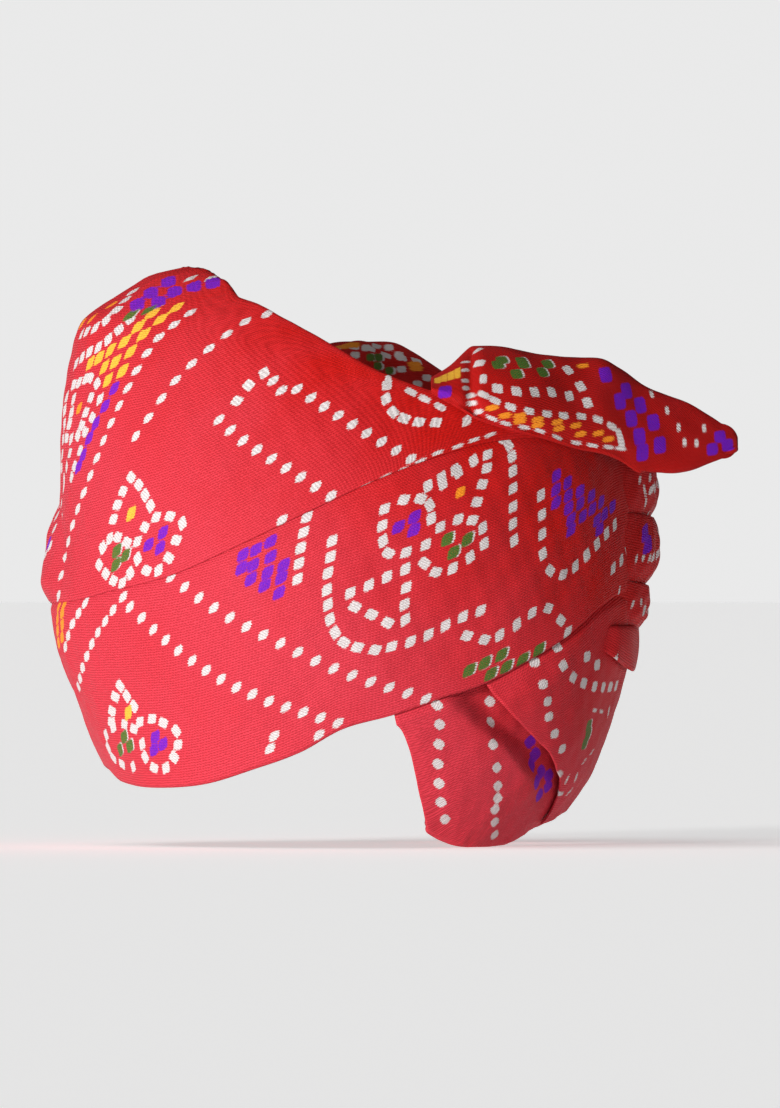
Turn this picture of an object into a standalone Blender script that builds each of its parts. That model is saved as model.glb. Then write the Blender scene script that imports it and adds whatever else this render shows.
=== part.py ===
# A ready-tied turban of printed cotton.
# Up is +Z, the forehead is towards -Y and the wearer's left is towards +X.
# The origin is the middle of the head opening, level with the notches over the ears.

import math

import bmesh
import bpy
from mathutils import Vector

# The outside of the wound body
BODY_LENGTH = 0.237
BODY_WIDTH = 0.190
PEAK_HEIGHT = 0.1724
BROW_WEDGE = 0.10

# Walls: one layer of cloth, the wound band round the head, the nape layers, and the room between layers
CLOTH_WALL = 0.0024
WOUND_WALL = 0.0100
NAPE_WALL = 0.0038
LAYER_GAP = 0.0005

# How far a layer takes to come back up beside the one that covers it, and how far it runs on underneath
GROOVE = 0.0075
GROOVE_START = 0.0012
TUCK = 0.019
NAPE_ROOM = 0.021
THIN_EDGE = 0.0055

# How far the wound band takes to reach its full wall: over the brow, over the nape and up to its top
THICKEN_BROW = 0.013
THICKEN_NAPE = 0.020
THICKEN_TOP = 0.014

# The folded tail at the crown
TAIL_ROOT = 0.031
TAIL_LENGTH = 0.1195
TAIL_WALL = 0.0018
TAIL_RETURN = 0.013
TAIL_SEAT = 0.0013

# Angles round the head, in degrees from the middle of the forehead
FAR_END = 116.0
FAR_FRONT_LOW = 8.0
FAR_FRONT_TOP = -6.0
PLEAT_START = 161.0
PLEAT_END = 222.0
PANEL_START = 151.0
PANEL_END = 196.0
FOLD_END = 216.0
# The forehead layer's low edge over the tall layer's, as a share of the peak height
FAR_RAISED = 0.012

PLEAT_BULGE = 0.0034
PLEAT_LIFT = 0.022
PLEAT_SWEEP = 0.14
FAR_BULGE = 0.0015
FOLD_BULGE = 0.0022
FOLD_BULGE_START = 0.004
FOLD_BULGE_RUN = 0.010
CROWN_GATHER = 0.0016

HALF_LENGTH = BODY_LENGTH / 2
HALF_WIDTH = BODY_WIDTH / 2
LAYER = CLOTH_WALL + LAYER_GAP

# Rows of faces up the layers that lie under another
LOWER_ROWS = 12
NAPE_ROWS = 9
FOLD_ROWS = 8

# Sections of the outer form: height over the ear notches as a share of the peak height, then the reach
# to the front and to the back as shares of the half length, and the half width as a share of its own.
SECTIONS = (
    (-0.32, 0.740, 0.560, 0.760),
    (-0.25, 0.760, 0.665, 0.800),
    (-0.16, 0.790, 0.772, 0.850),
    (-0.06, 0.852, 0.842, 0.892),
    (0.03, 0.897, 0.885, 0.930),
    (0.14, 0.958, 0.925, 0.968),
    (0.25, 0.982, 0.945, 0.990),
    (0.36, 0.970, 0.953, 1.000),
    (0.50, 0.963, 0.950, 0.985),
    (0.60, 0.958, 0.930, 0.940),
    (0.70, 0.948, 0.885, 0.870),
    (0.80, 0.922, 0.820, 0.780),
    (0.88, 0.888, 0.740, 0.670),
    (0.92, 0.818, 0.690, 0.605),
    (0.96, 0.722, 0.630, 0.525),
    (0.983, 0.660, 0.590, 0.460),
    (1.00, 0.556, 0.560, 0.400),
)

# Edges of the layers: angle round from the forehead, height as a share of the peak height.
UPPER_LOW = (
    (0, 0.247), (22, 0.253), (35, 0.272), (52, 0.308), (68, 0.378),
    (81, 0.448), (95, 0.523), (108, 0.578), (120, 0.610), (135, 0.618), (155, 0.606), (180, 0.600),
)
UPPER_TOP = (
    (0, 1.000), (33, 0.993), (53, 0.970), (62, 0.932), (69, 0.912), (77, 0.876), (85, 0.830),
    (92, 0.787), (98, 0.757), (111, 0.712), (122, 0.694), (140, 0.682), (160, 0.672), (180, 0.668),
)
LOWER_LOW = (
    (0, -0.118), (8, -0.127), (17, -0.152), (34, -0.161), (53, -0.152), (69, -0.113), (79, -0.079),
    (88, -0.032), (99, 0.000), (110, 0.041), (119, 0.070), (127, 0.113), (134, 0.149),
    (141, 0.188), (150, 0.242), (158, 0.270), (170, 0.280), (180, 0.280),
)
LOWER_TOP = (
    (0, 0.370), (44, 0.420), (68, 0.500), (81, 0.560), (95, 0.605), (108, 0.640),
    (120, 0.648), (135, 0.644), (155, 0.634), (180, 0.628),
)
FAR_TOP = (
    (0, 0.505), (30, 0.545), (60, 0.625), (90, 0.690), (104, 0.692), (116, 0.668),
)
NAPE_LOW = (
    (97, -0.060), (103, -0.150), (108, -0.225), (114, -0.262), (124, -0.288), (137, -0.298),
    (146, -0.294), (157, -0.278), (166, -0.254), (180, -0.222),
)
# The edge of the nape cloth behind the ear: share of the way down, angle round
NAPE_SIDE = (
    (0.00, 98.0), (0.30, 101.0), (0.58, 103.4), (0.83, 106.6), (1.00, 112.0),
)
# The slanting edge of the fold: share of the way down, angle round
FOLD_SIDE = (
    (0.00, 112), (0.25, 120), (0.45, 126), (0.65, 134), (0.74, 138), (0.87, 142), (0.94, 146),
    (1.00, 153),
)
FOLD_LOW = (
    (112, -0.270), (148, -0.262), (153, -0.258), (160, -0.250), (169, -0.232), (180, -0.208),
    (198, -0.165), (216, -0.100),
)
# The same edge by height: height, angle round
FOLD_BY_HEIGHT = (
    (-0.30, 166), (-0.16, 152), (-0.12, 145), (-0.08, 139), (-0.04, 132), (0.01, 125), (0.07, 119),
    (0.16, 113), (0.28, 108),
)
CROWN_EDGE = (
    (0, 0.700), (60, 0.700), (95, 0.690), (112, 0.676), (125, 0.668), (140, 0.664), (180, 0.646),
)
# Crown: share of the way from its middle to its edge, share of the rise that is left
CROWN_RISE = (
    (0.00, 1.000), (0.10, 0.965), (0.18, 0.820), (0.24, 0.690), (0.30, 0.570), (0.45, 0.360),
    (0.70, 0.150), (1.00, 0.000),
)
CROWN_PEAK = 0.838
CROWN_MIDDLE = 0.050
CROWN_BROAD = 0.48

# The back panel's top edge, and how far above it the lowest gather starts
PANEL_TOP = 0.189
PANEL_CLEAR = 0.006
# Back gathers: low and high edge as shares of the peak height, bulge as a share of its own
PLEATS = (
    (0.437, 0.580, 0.75),
    (0.289, 0.431, 1.00),
    (PANEL_TOP + PANEL_CLEAR, 0.276, 0.35),
)
PANEL_LOW = (
    (151, 0.150), (160, 0.118), (172, 0.100), (184, 0.104), (196, 0.130),
)

# Tail: share of its length, then ridge height, hem height and far height as shares of the peak height,
# and the sideways place of ridge, hem and far edge as shares of the half width.
TAIL = (
    (0.000, 0.752, 0.722, 0.748, 0.640, 0.800, 0.420),
    (0.064, 0.780, 0.700, 0.768, 0.600, 0.820, 0.330),
    (0.120, 0.818, 0.680, 0.778, 0.560, 0.830, 0.250),
    (0.139, 0.824, 0.672, 0.778, 0.555, 0.830, 0.240),
    (0.249, 0.819, 0.648, 0.760, 0.510, 0.790, 0.140),
    (0.357, 0.805, 0.630, 0.740, 0.470, 0.720, 0.070),
    (0.480, 0.797, 0.606, 0.728, 0.430, 0.610, 0.020),
    (0.560, 0.796, 0.596, 0.720, 0.390, 0.550, 0.000),
    (0.618, 0.772, 0.580, 0.712, 0.360, 0.500, 0.000),
    (0.684, 0.738, 0.552, 0.690, 0.325, 0.445, 0.010),
    (0.765, 0.716, 0.538, 0.655, 0.285, 0.380, 0.030),
    (0.834, 0.697, 0.545, 0.630, 0.250, 0.330, 0.060),
    (0.896, 0.674, 0.558, 0.615, 0.222, 0.285, 0.090),
    (0.950, 0.650, 0.573, 0.605, 0.200, 0.245, 0.120),
    (1.000, 0.622, 0.598, 0.606, 0.175, 0.205, 0.145),
)
# Where the tail leaves the body's side and hangs free, as shares of its length
TAIL_LEAVES = 0.30
TAIL_FREE = 0.50
# Where its hem turns in underneath
TAIL_TURNS = 0.68

CLOTH_RED = (0.70, 0.035, 0.07, 1.0)
CROWN_RED = (0.50, 0.02, 0.05, 1.0)


# The smooth curve through one column of a table, held level past its ends.
def read(rows, at, column=1):
    if at <= rows[0][0]:
        return rows[0][column]
    if at >= rows[-1][0]:
        return rows[-1][column]
    place = next(i for i in range(1, len(rows)) if at <= rows[i][0])
    before, after = rows[place - 1], rows[place]
    first = rows[max(place - 2, 0)]
    last = rows[min(place + 1, len(rows) - 1)]
    span = after[0] - before[0]
    lean_in = (after[column] - first[column]) / (after[0] - first[0]) * span
    lean_out = (last[column] - before[column]) / (last[0] - before[0]) * span
    t = (at - before[0]) / span
    return (
        before[column] * (2 * t**3 - 3 * t**2 + 1)
        + lean_in * (t**3 - 2 * t**2 + t)
        + after[column] * (3 * t**2 - 2 * t**3)
        + lean_out * (t**3 - t**2)
    )


def mix(a, b, t):
    return a + (b - a) * t


def ease(t):
    t = min(max(t, 0.0), 1.0)
    return t * t * (3 - 2 * t)


# The angle from the forehead, the same for both sides of the head.
def side_angle(turn):
    return abs((turn + 180.0) % 360.0 - 180.0)


# The outer form at an angle round the head and a height in shares of the peak height.
def form_point(turn, height):
    angle = math.radians(turn)
    forward = math.cos(angle)
    reach = read(SECTIONS, height, 1 if forward > 0 else 2) * HALF_LENGTH
    half = read(SECTIONS, height, 3) * HALF_WIDTH
    narrowing = 1 - BROW_WEDGE * max(forward, 0.0) ** 2
    return Vector((half * math.sin(angle) * narrowing, -reach * forward, height * PEAK_HEIGHT))


def form_normal(turn, height):
    along = form_point(turn + 1.0, height) - form_point(turn - 1.0, height)
    up = form_point(turn, height + 0.01) - form_point(turn, height - 0.01)
    return along.cross(up).normalized()


# How far out the near side of the form stands at a place along the body.
def body_side(along, height):
    reach = read(SECTIONS, height, 2) * HALF_LENGTH
    turn = 180.0 - math.degrees(math.acos(min(along / reach, 1.0)))
    return form_point(turn, height).x


def sunk(turn, height, depth):
    return form_point(turn, height) - form_normal(turn, height) * depth


# A layer's wall, thinner over the last few millimetres before an edge.
def edge_wall(wall, to_low, to_top):
    nearest = min(to_low, to_top) * PEAK_HEIGHT / THIN_EDGE
    return wall * mix(0.55, 1.0, ease(nearest))


# Follows straight lines through (share, value) pairs.
def stepped(share, pairs):
    for before, after in zip(pairs, pairs[1:]):
        if share <= after[0] + 1e-6:
            return mix(before[1], after[1], (share - before[0]) / (after[0] - before[0]))
    return pairs[-1][1]


# 1 where a layer lies under one whose lower edge is here, falling to 0 over the groove below it.
def under(height, edge):
    return 1.0 - ease(((edge - height) * PEAK_HEIGHT - GROOVE_START) / (GROOVE - GROOVE_START))


def upper_wrap(u, v, inner):
    turn = mix(-180.0, 180.0, u)
    low = read(UPPER_LOW, side_angle(turn))
    top = read(UPPER_TOP, side_angle(turn))
    height = mix(low, top, 1 - (1 - v) ** 1.35)
    wall = edge_wall(CLOTH_WALL, height - low, top - height)
    depth = (CLOTH_WALL - wall) / 2
    return sunk(turn, height, depth + wall * inner)


def far_wrap(u, v, inner):
    turn = mix(-FAR_END, mix(FAR_FRONT_LOW, FAR_FRONT_TOP, v), u)
    low = read(UPPER_LOW, side_angle(turn)) + FAR_RAISED
    top = read(FAR_TOP, side_angle(turn))
    height = mix(low, top, v)
    wall = edge_wall(CLOTH_WALL, height - low, top - height)
    bulge = FAR_BULGE * math.sin(math.pi * v) * ease((FAR_END - side_angle(turn)) / 30)
    return sunk(turn, height, -LAYER_GAP - bulge - wall * (1 - inner))


def lower_wrap(u, v, inner):
    turn = mix(-180.0, 180.0, u)
    angle = side_angle(turn)
    low = read(LOWER_LOW, angle)
    top = read(LOWER_TOP, angle)
    edge = read(UPPER_LOW, angle)
    height = stepped(v * LOWER_ROWS, (
        (0, low),
        (1, low + THIN_EDGE / PEAK_HEIGHT),
        (3, low + NAPE_ROOM / PEAK_HEIGHT),
        (LOWER_ROWS - 4, edge - GROOVE / PEAK_HEIGHT),
        (LOWER_ROWS - 3, edge - GROOVE_START / PEAK_HEIGHT),
        (LOWER_ROWS, top),
    ))
    covered = under(height, edge)
    behind = ease((angle - 84) / 8)
    thin = mix(0.0, NAPE_ROOM, behind)
    thicken = mix(THICKEN_BROW, THICKEN_NAPE, behind)
    wound = ease(((height - low) * PEAK_HEIGHT - thin) / thicken)
    wound *= ease((top - height) * PEAK_HEIGHT / THICKEN_TOP)
    wall = mix(edge_wall(CLOTH_WALL, height - low, top - height), WOUND_WALL, wound)
    return sunk(turn, height, LAYER * covered + wall * inner)


def nape_wrap(u, v, inner):
    start = read(NAPE_SIDE, v)
    turn = mix(start, 360.0 - start, u)
    angle = side_angle(turn)
    edge = read(LOWER_LOW, angle)
    top = edge + TUCK / PEAK_HEIGHT
    low = read(NAPE_LOW, angle)
    height = stepped(v * NAPE_ROWS, (
        (0, top),
        (2, edge - GROOVE_START / PEAK_HEIGHT),
        (3, edge - GROOVE / PEAK_HEIGHT),
        (NAPE_ROWS, low),
    ))
    covered = under(height, edge)
    slant = read(FOLD_BY_HEIGHT, height)
    folded = ease((turn - slant + 13) / 10) * (1 - ease((turn - FOLD_END - 5) / 9))
    wall = edge_wall(NAPE_WALL, height - low, top - height)
    return sunk(turn, height, mix(LAYER * covered, 2 * LAYER, folded) + wall * inner)


def nape_fold(u, v, inner):
    turn = mix(read(FOLD_SIDE, v), FOLD_END, u)
    angle = side_angle(turn)
    edge = read(LOWER_LOW, angle)
    top = edge + 0.85 * TUCK / PEAK_HEIGHT
    low = read(FOLD_LOW, turn)
    height = stepped(v * FOLD_ROWS, (
        (0, top),
        (2, edge - GROOVE_START / PEAK_HEIGHT),
        (3, edge - GROOVE / PEAK_HEIGHT),
        (FOLD_ROWS, low),
    ))
    covered = under(height, edge)
    wall = edge_wall(CLOTH_WALL, height - low, top - height)
    near_slant = math.exp(-((u / 0.16) ** 2))
    down = (edge - height) * PEAK_HEIGHT
    proud = FOLD_BULGE * near_slant * ease((down - FOLD_BULGE_START) / FOLD_BULGE_RUN)
    return sunk(turn, height, LAYER * covered - proud + wall * inner)


def back_pleat(low, top, share):
    def place(u, v, inner):
        turn = mix(PLEAT_START, PLEAT_END, u)
        across = math.sin(math.pi * u)
        narrow = 0.5 * (top - low) * 0.86 * (1 - across**0.6)
        lift = PLEAT_LIFT * (1 - across) + PLEAT_SWEEP * max(u - 0.35, 0.0) ** 1.6
        height = mix(low + narrow, top - narrow, v) + lift
        rise = math.sin(math.pi * v) ** 0.8 * ease(across * 1.6)
        wall = edge_wall(CLOTH_WALL, (top - low) * v, (top - low) * (1 - v))
        return sunk(turn, height, -LAYER_GAP - PLEAT_BULGE * share * rise - wall * (1 - inner))

    return place


def back_panel(u, v, inner):
    turn = mix(PANEL_START, PANEL_END, u)
    low = read(PANEL_LOW, turn)
    height = mix(low, PANEL_TOP, v)
    wall = edge_wall(CLOTH_WALL, height - low, PANEL_TOP - height)
    return sunk(turn, height, -LAYER_GAP - wall * (1 - inner))


# Where the crown cloth meets the inside of the upper wrap.
def crown_edge(turn):
    return sunk(turn, read(CROWN_EDGE, side_angle(turn)), LAYER)


def crown_outer(u, v):
    turn = mix(-180.0, 180.0, u)
    edge = crown_edge(turn)
    middle = Vector((0.0, CROWN_MIDDLE * HALF_LENGTH, 0.0))
    point = middle + (Vector((edge.x, edge.y, 0.0)) - middle) * v
    broad = v * (1 - CROWN_BROAD * abs(math.sin(math.radians(turn))) * (1 - v))
    gather = CROWN_GATHER * math.sin(math.radians(turn) * 5 + 0.8) * math.sin(math.pi * v)
    point.z = mix(edge.z, CROWN_PEAK * PEAK_HEIGHT, read(CROWN_RISE, broad)) + gather
    return point


def crown_cloth(u, v, inner):
    point = crown_outer(u, v**1.25)
    point.z -= CLOTH_WALL * inner
    return point


# The tail's outer face: u runs from its root to its tip, v from the far edge over the ridge and
# down to the hem, then back in under it.
def tail_outer(u, v):
    share, ridge, hem, far, ridge_side, hem_side, far_side = (
        (u,) + tuple(read(TAIL, u, column) for column in range(1, 7))
    )
    far_point = (far_side * HALF_WIDTH, far * PEAK_HEIGHT)
    ridge_point = (ridge_side * HALF_WIDTH, ridge * PEAK_HEIGHT)
    free = ease((share - TAIL_LEAVES) / (TAIL_FREE - TAIL_LEAVES))
    beside = body_side(TAIL_ROOT + TAIL_LENGTH * share, hem) + TAIL_WALL + TAIL_SEAT
    hem_point = (mix(beside, hem_side * HALF_WIDTH, free), hem * PEAK_HEIGHT)
    tall = ridge_point[1] - hem_point[1]
    turned = ease((share - TAIL_TURNS) / 0.10)
    back_in = TAIL_RETURN * turned * ease((1 - share) / 0.15)
    outline = (
        (0.00, far_point[0], far_point[1]),
        (0.22, mix(far_point[0], ridge_point[0], 0.5), mix(far_point[1], ridge_point[1], 0.66)),
        (0.46, ridge_point[0], ridge_point[1]),
        (0.60, mix(ridge_point[0], hem_point[0], 0.55), mix(ridge_point[1], hem_point[1], 0.28)),
        (0.78, mix(ridge_point[0], hem_point[0], 0.98), mix(ridge_point[1], hem_point[1], 0.74)),
        (0.88, hem_point[0], hem_point[1]),
        (1.00, hem_point[0] - back_in, hem_point[1] + mix(-0.05, 0.16, turned) * tall),
    )
    return Vector(
        (read(outline, v, 1), TAIL_ROOT + TAIL_LENGTH * share, read(outline, v, 2))
    )


def tail_flap(u, v, inner):
    point = tail_outer(u, v)
    along = tail_outer(min(u + 0.01, 1), v) - tail_outer(max(u - 0.01, 0), v)
    across = tail_outer(u, min(v + 0.02, 1)) - tail_outer(u, max(v - 0.02, 0))
    normal = across.cross(along).normalized()
    return point - normal * TAIL_WALL * inner


def cloth_material(name, colour):
    material = bpy.data.materials.new(name)
    material.use_nodes = True
    shader = material.node_tree.nodes["Principled BSDF"]
    shader.inputs["Base Color"].default_value = colour
    shader.inputs["Roughness"].default_value = 0.72
    shader.inputs["Metallic"].default_value = 0.0
    return material


# A closed layer of cloth: a grid and its copy, set on the outer and the inner face by place(u, v,
# inner).
def layer(name, place, columns, rows, ring=False, colour=CLOTH_RED):
    mesh_data = bmesh.new()
    bmesh.ops.create_grid(mesh_data, x_segments=columns, y_segments=rows, size=0.5)
    outer = set(mesh_data.verts)
    bmesh.ops.extrude_face_region(mesh_data, geom=list(mesh_data.faces), use_keep_orig=True)
    grid_place = {vertex: (vertex.co.x + 0.5, vertex.co.y + 0.5) for vertex in mesh_data.verts}
    if ring:
        ends = [
            face
            for face in mesh_data.faces
            if all(abs(grid_place[vertex][0] - 0.5) > 0.4999 for vertex in face.verts)
        ]
        bmesh.ops.delete(mesh_data, geom=ends, context="FACES_ONLY")
    for vertex, (u, v) in grid_place.items():
        vertex.co = place(u, v, 0 if vertex in outer else 1)
    if ring:
        bmesh.ops.remove_doubles(mesh_data, verts=mesh_data.verts, dist=0.00005)
    bmesh.ops.recalc_face_normals(mesh_data, faces=mesh_data.faces)
    if mesh_data.calc_volume(signed=True) < 0:
        bmesh.ops.reverse_faces(mesh_data, faces=mesh_data.faces)
    mesh = bpy.data.meshes.new(name)
    mesh_data.to_mesh(mesh)
    mesh_data.free()
    mesh.shade_smooth()
    mesh.materials.append(cloth_material(name, colour))
    thing = bpy.data.objects.new(name, mesh)
    bpy.context.scene.collection.objects.link(thing)
    return thing


for old in list(bpy.context.scene.objects):
    bpy.data.objects.remove(old)

layer("upper_wrap", upper_wrap, 54, 12, ring=True)
layer("far_wrap", far_wrap, 20, 5)
layer("lower_wrap", lower_wrap, 54, LOWER_ROWS, ring=True)
layer("nape_wrap", nape_wrap, 28, NAPE_ROWS)
layer("nape_fold", nape_fold, 18, FOLD_ROWS)
for number, pleat in enumerate(PLEATS, 1):
    layer(f"back_pleat_{number}", back_pleat(*pleat), 12, 5)
layer("back_panel", back_panel, 9, 4)
layer("crown_cloth", crown_cloth, 40, 7, ring=True, colour=CROWN_RED)
layer("tail_flap", tail_flap, 24, 14)
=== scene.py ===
# The looks of a ready-tied turban of printed cotton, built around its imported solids.
# Up is +Z, the forehead is towards -Y and the wearer's left is towards +X. Sizes are in metres.

import math

import bmesh
import bpy
import numpy as np
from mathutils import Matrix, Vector, kdtree


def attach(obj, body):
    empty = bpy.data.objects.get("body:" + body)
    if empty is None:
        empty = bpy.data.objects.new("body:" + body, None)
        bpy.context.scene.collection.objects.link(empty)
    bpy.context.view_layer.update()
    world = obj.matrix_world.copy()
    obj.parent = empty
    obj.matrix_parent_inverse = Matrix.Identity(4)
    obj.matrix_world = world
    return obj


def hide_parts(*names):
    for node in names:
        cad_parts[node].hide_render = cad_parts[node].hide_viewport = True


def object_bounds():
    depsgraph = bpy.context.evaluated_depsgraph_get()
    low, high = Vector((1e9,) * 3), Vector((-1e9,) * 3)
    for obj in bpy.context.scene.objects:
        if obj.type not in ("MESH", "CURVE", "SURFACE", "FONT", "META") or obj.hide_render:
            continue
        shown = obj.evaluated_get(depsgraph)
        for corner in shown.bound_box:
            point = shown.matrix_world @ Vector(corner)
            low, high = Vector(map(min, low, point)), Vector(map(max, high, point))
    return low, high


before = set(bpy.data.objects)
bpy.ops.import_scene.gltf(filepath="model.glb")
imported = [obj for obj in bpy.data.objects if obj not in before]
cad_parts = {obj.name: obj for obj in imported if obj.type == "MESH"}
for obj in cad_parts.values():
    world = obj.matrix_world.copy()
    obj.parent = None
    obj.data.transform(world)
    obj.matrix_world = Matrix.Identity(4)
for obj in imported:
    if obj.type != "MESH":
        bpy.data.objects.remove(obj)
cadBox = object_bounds()
print("frame loaded:", len(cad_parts), "solids")

# ---- camera, floor and light come first, because the print is charted as this camera sees it

camera = {
    "target": (0.0, 0.01521, 0.0616),
    "distance": 6.0,
    "seenHeight": 0.43212,
    "sensor": 36.0,
}
light = {
    "key": {"azimuth": -38.0, "elevation": 5.0, "angle": 14.0, "power": 4.10, "colour": (1.0, 0.985, 0.98)},
    "top": {"azimuth": -70.0, "elevation": 62.0, "angle": 40.0, "power": 0.70, "colour": (1.0, 1.0, 1.0)},
    "backdrop": 0.82,  # how bright the studio is at eye level
    "ambient": 0.05,  # and everywhere else
    "bandLow": 0.04,
    "bandTop": 0.12,
}
stage = {"radius": 30.0, "drop": 0.0004, "glow": 0.45}


def makeCamera():
    lens = bpy.data.cameras.new("camera")
    lens.sensor_width = camera["sensor"]
    lens.lens = camera["sensor"] * camera["distance"] / camera["seenHeight"]
    lens.clip_end = 60.0
    body = bpy.data.objects.new("camera", lens)
    x, y, z = camera["target"]
    body.location = (x + camera["distance"], y, z)
    body.rotation_euler = (math.radians(90), 0.0, math.radians(90))
    bpy.context.scene.collection.objects.link(body)
    bpy.context.scene.camera = body


def makeLight(name, azimuth, elevation, angle, power, colour):
    lamp = bpy.data.lights.new(name, "SUN")
    lamp.angle = math.radians(angle)
    lamp.energy = power
    lamp.color = colour
    body = bpy.data.objects.new(name, lamp)
    across, up = math.radians(azimuth), math.radians(elevation)
    towards = Vector((math.cos(across) * math.cos(up), math.sin(across) * math.cos(up), math.sin(up)))
    body.location = towards * 2
    body.rotation_euler = towards.to_track_quat("Z", "Y").to_euler()
    bpy.context.scene.collection.objects.link(body)


def makeStage():
    disc = bmesh.new()
    bmesh.ops.create_circle(disc, cap_ends=True, segments=96, radius=stage["radius"])
    bmesh.ops.translate(disc, verts=disc.verts, vec=(0, 0, cadBox[0].z - stage["drop"]))
    mesh = bpy.data.meshes.new("floor")
    disc.to_mesh(mesh)
    disc.free()
    paper = bpy.data.materials.new("floorPaper")
    paper.use_nodes = True
    shader = paper.node_tree.nodes["Principled BSDF"]
    shader.inputs["Base Color"].default_value = (0.9, 0.9, 0.9, 1)
    shader.inputs["Roughness"].default_value = 0.95
    shader.inputs["Specular IOR Level"].default_value = 0.0
    shader.inputs["Emission Color"].default_value = (1, 1, 1, 1)
    shader.inputs["Emission Strength"].default_value = stage["glow"]
    mesh.materials.append(paper)
    floor = bpy.data.objects.new("floor", mesh)
    bpy.context.scene.collection.objects.link(floor)


def makeWorld():
    # light grey all round at eye level, dimmer overhead
    world = bpy.data.worlds.new("studio")
    world.use_nodes = True
    tree = world.node_tree
    direction = tree.nodes.new("ShaderNodeTexCoord")
    parts = tree.nodes.new("ShaderNodeSeparateXYZ")
    fall = tree.nodes.new("ShaderNodeMapRange")
    fall.interpolation_type = "SMOOTHSTEP"
    tree.links.new(direction.outputs["Generated"], parts.inputs[0])
    tree.links.new(parts.outputs["Z"], fall.inputs["Value"])
    for name, number in (("From Min", light["bandLow"]), ("From Max", light["bandTop"]),
                         ("To Min", light["backdrop"]), ("To Max", light["ambient"])):
        fall.inputs[name].default_value = number
    tree.links.new(fall.outputs[0], tree.nodes["Background"].inputs["Strength"])
    tree.nodes["Background"].inputs["Color"].default_value = (1, 1, 1, 1)
    bpy.context.scene.world = world


bpy.context.scene.view_settings.view_transform = "Standard"  # keeps the dyes as strong as they are
makeCamera()
makeStage()
makeWorld()
for lampName in ("key", "top"):
    makeLight(lampName, **light[lampName])
print("camera, floor and light made")

# ---- the printed cotton

cotton = {
    "paintedLitBrow": (0.65, 0.044, 0.068),  # the brow, paler with painted light
    "deep": (0.56, 0.008, 0.0045),
    "paintedShadeBack": (0.36, 0.006, 0.004),  # the back, darker with painted shade
    "groove": (0.27, 0.004, 0.003),  # painted shade between the ribs
    "paintedLightFrom": 0.168,  # where the painted light begins and where it is full, in metres along Y, with the share of Z below
    "paintedLightTo": 0.020,
    "paintedLightUp": 1.2,
    "paintedShadeFrom": 0.160,
    "paintedShadeTo": 0.270,
    "white": (0.70, 0.655, 0.65),
    "whiteShade": (0.40, 0.33, 0.32),
    "ribSpacing": 1.0,  # millimetres
    "threadSpacing": 0.7,
    "distortion": 2.8,  # how unevenly they run
    "slubScale": 1.9,  # thick and thin places in the yarn
    "cloudScale": 0.028,  # broad faded patches
    "cloudiness": 0.14,
    "ribShare": 0.55,  # of the relief, with the two below
    "threadShare": 0.30,
    "slubShare": 0.30,
    "reliefHeight": 0.00032,
    "reliefStrength": 0.9,
    "grooveShare": 0.55,  # how dark the painted shade in the grooves gets
    "raggedSlub": 0.85,  # how far a mark's edge follows the yarn, in millimetres
    "raggedRib": 0.30,
    "edge": 0.14,  # how softly the dye ends, in millimetres
    "speck": 0.55,  # how far the shade shows between the threads of a white mark
    "groundThroughDye": 0.34,
    "roughest": 0.62,
    "smoothest": 0.50,
    "gloss": 0.12,
    "sheen": 0.015,
}
dyes = {
    "yellow": (0.88, 0.50, 0.045),
    "orange": (0.88, 0.30, 0.018),
    "purple": (0.115, 0.010, 0.50),
    "green": (0.018, 0.165, 0.024),
}


def addNode(tree, kind, **settings):
    node = tree.nodes.new(kind)
    for name, value in settings.items():
        setattr(node, name, value)
    return node


def maths(tree, operation, first, second):
    node = addNode(tree, "ShaderNodeMath", operation=operation)
    for socket, value in zip(node.inputs, (first, second)):
        if isinstance(value, (int, float)):
            socket.default_value = value
        else:
            tree.links.new(value, socket)
    return node.outputs[0]


def mixColour(tree, factor, first, second):
    node = addNode(tree, "ShaderNodeMix", data_type="RGBA")
    for name, value in (("Factor", factor), ("A", first), ("B", second)):
        socket = next(s for s in node.inputs if s.name == name and s.enabled)
        if isinstance(value, tuple):
            socket.default_value = (*value, 1.0)
        elif isinstance(value, (int, float)):
            socket.default_value = value
        else:
            tree.links.new(value, socket)
    return next(s for s in node.outputs if s.enabled)


def spread(tree, value, low, high, outLow=0.0, outHigh=1.0):
    node = addNode(tree, "ShaderNodeMapRange")
    tree.links.new(value, node.inputs["Value"])
    for name, number in (("From Min", low), ("From Max", high), ("To Min", outLow), ("To Max", outHigh)):
        node.inputs[name].default_value = number
    return node.outputs[0]


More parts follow.
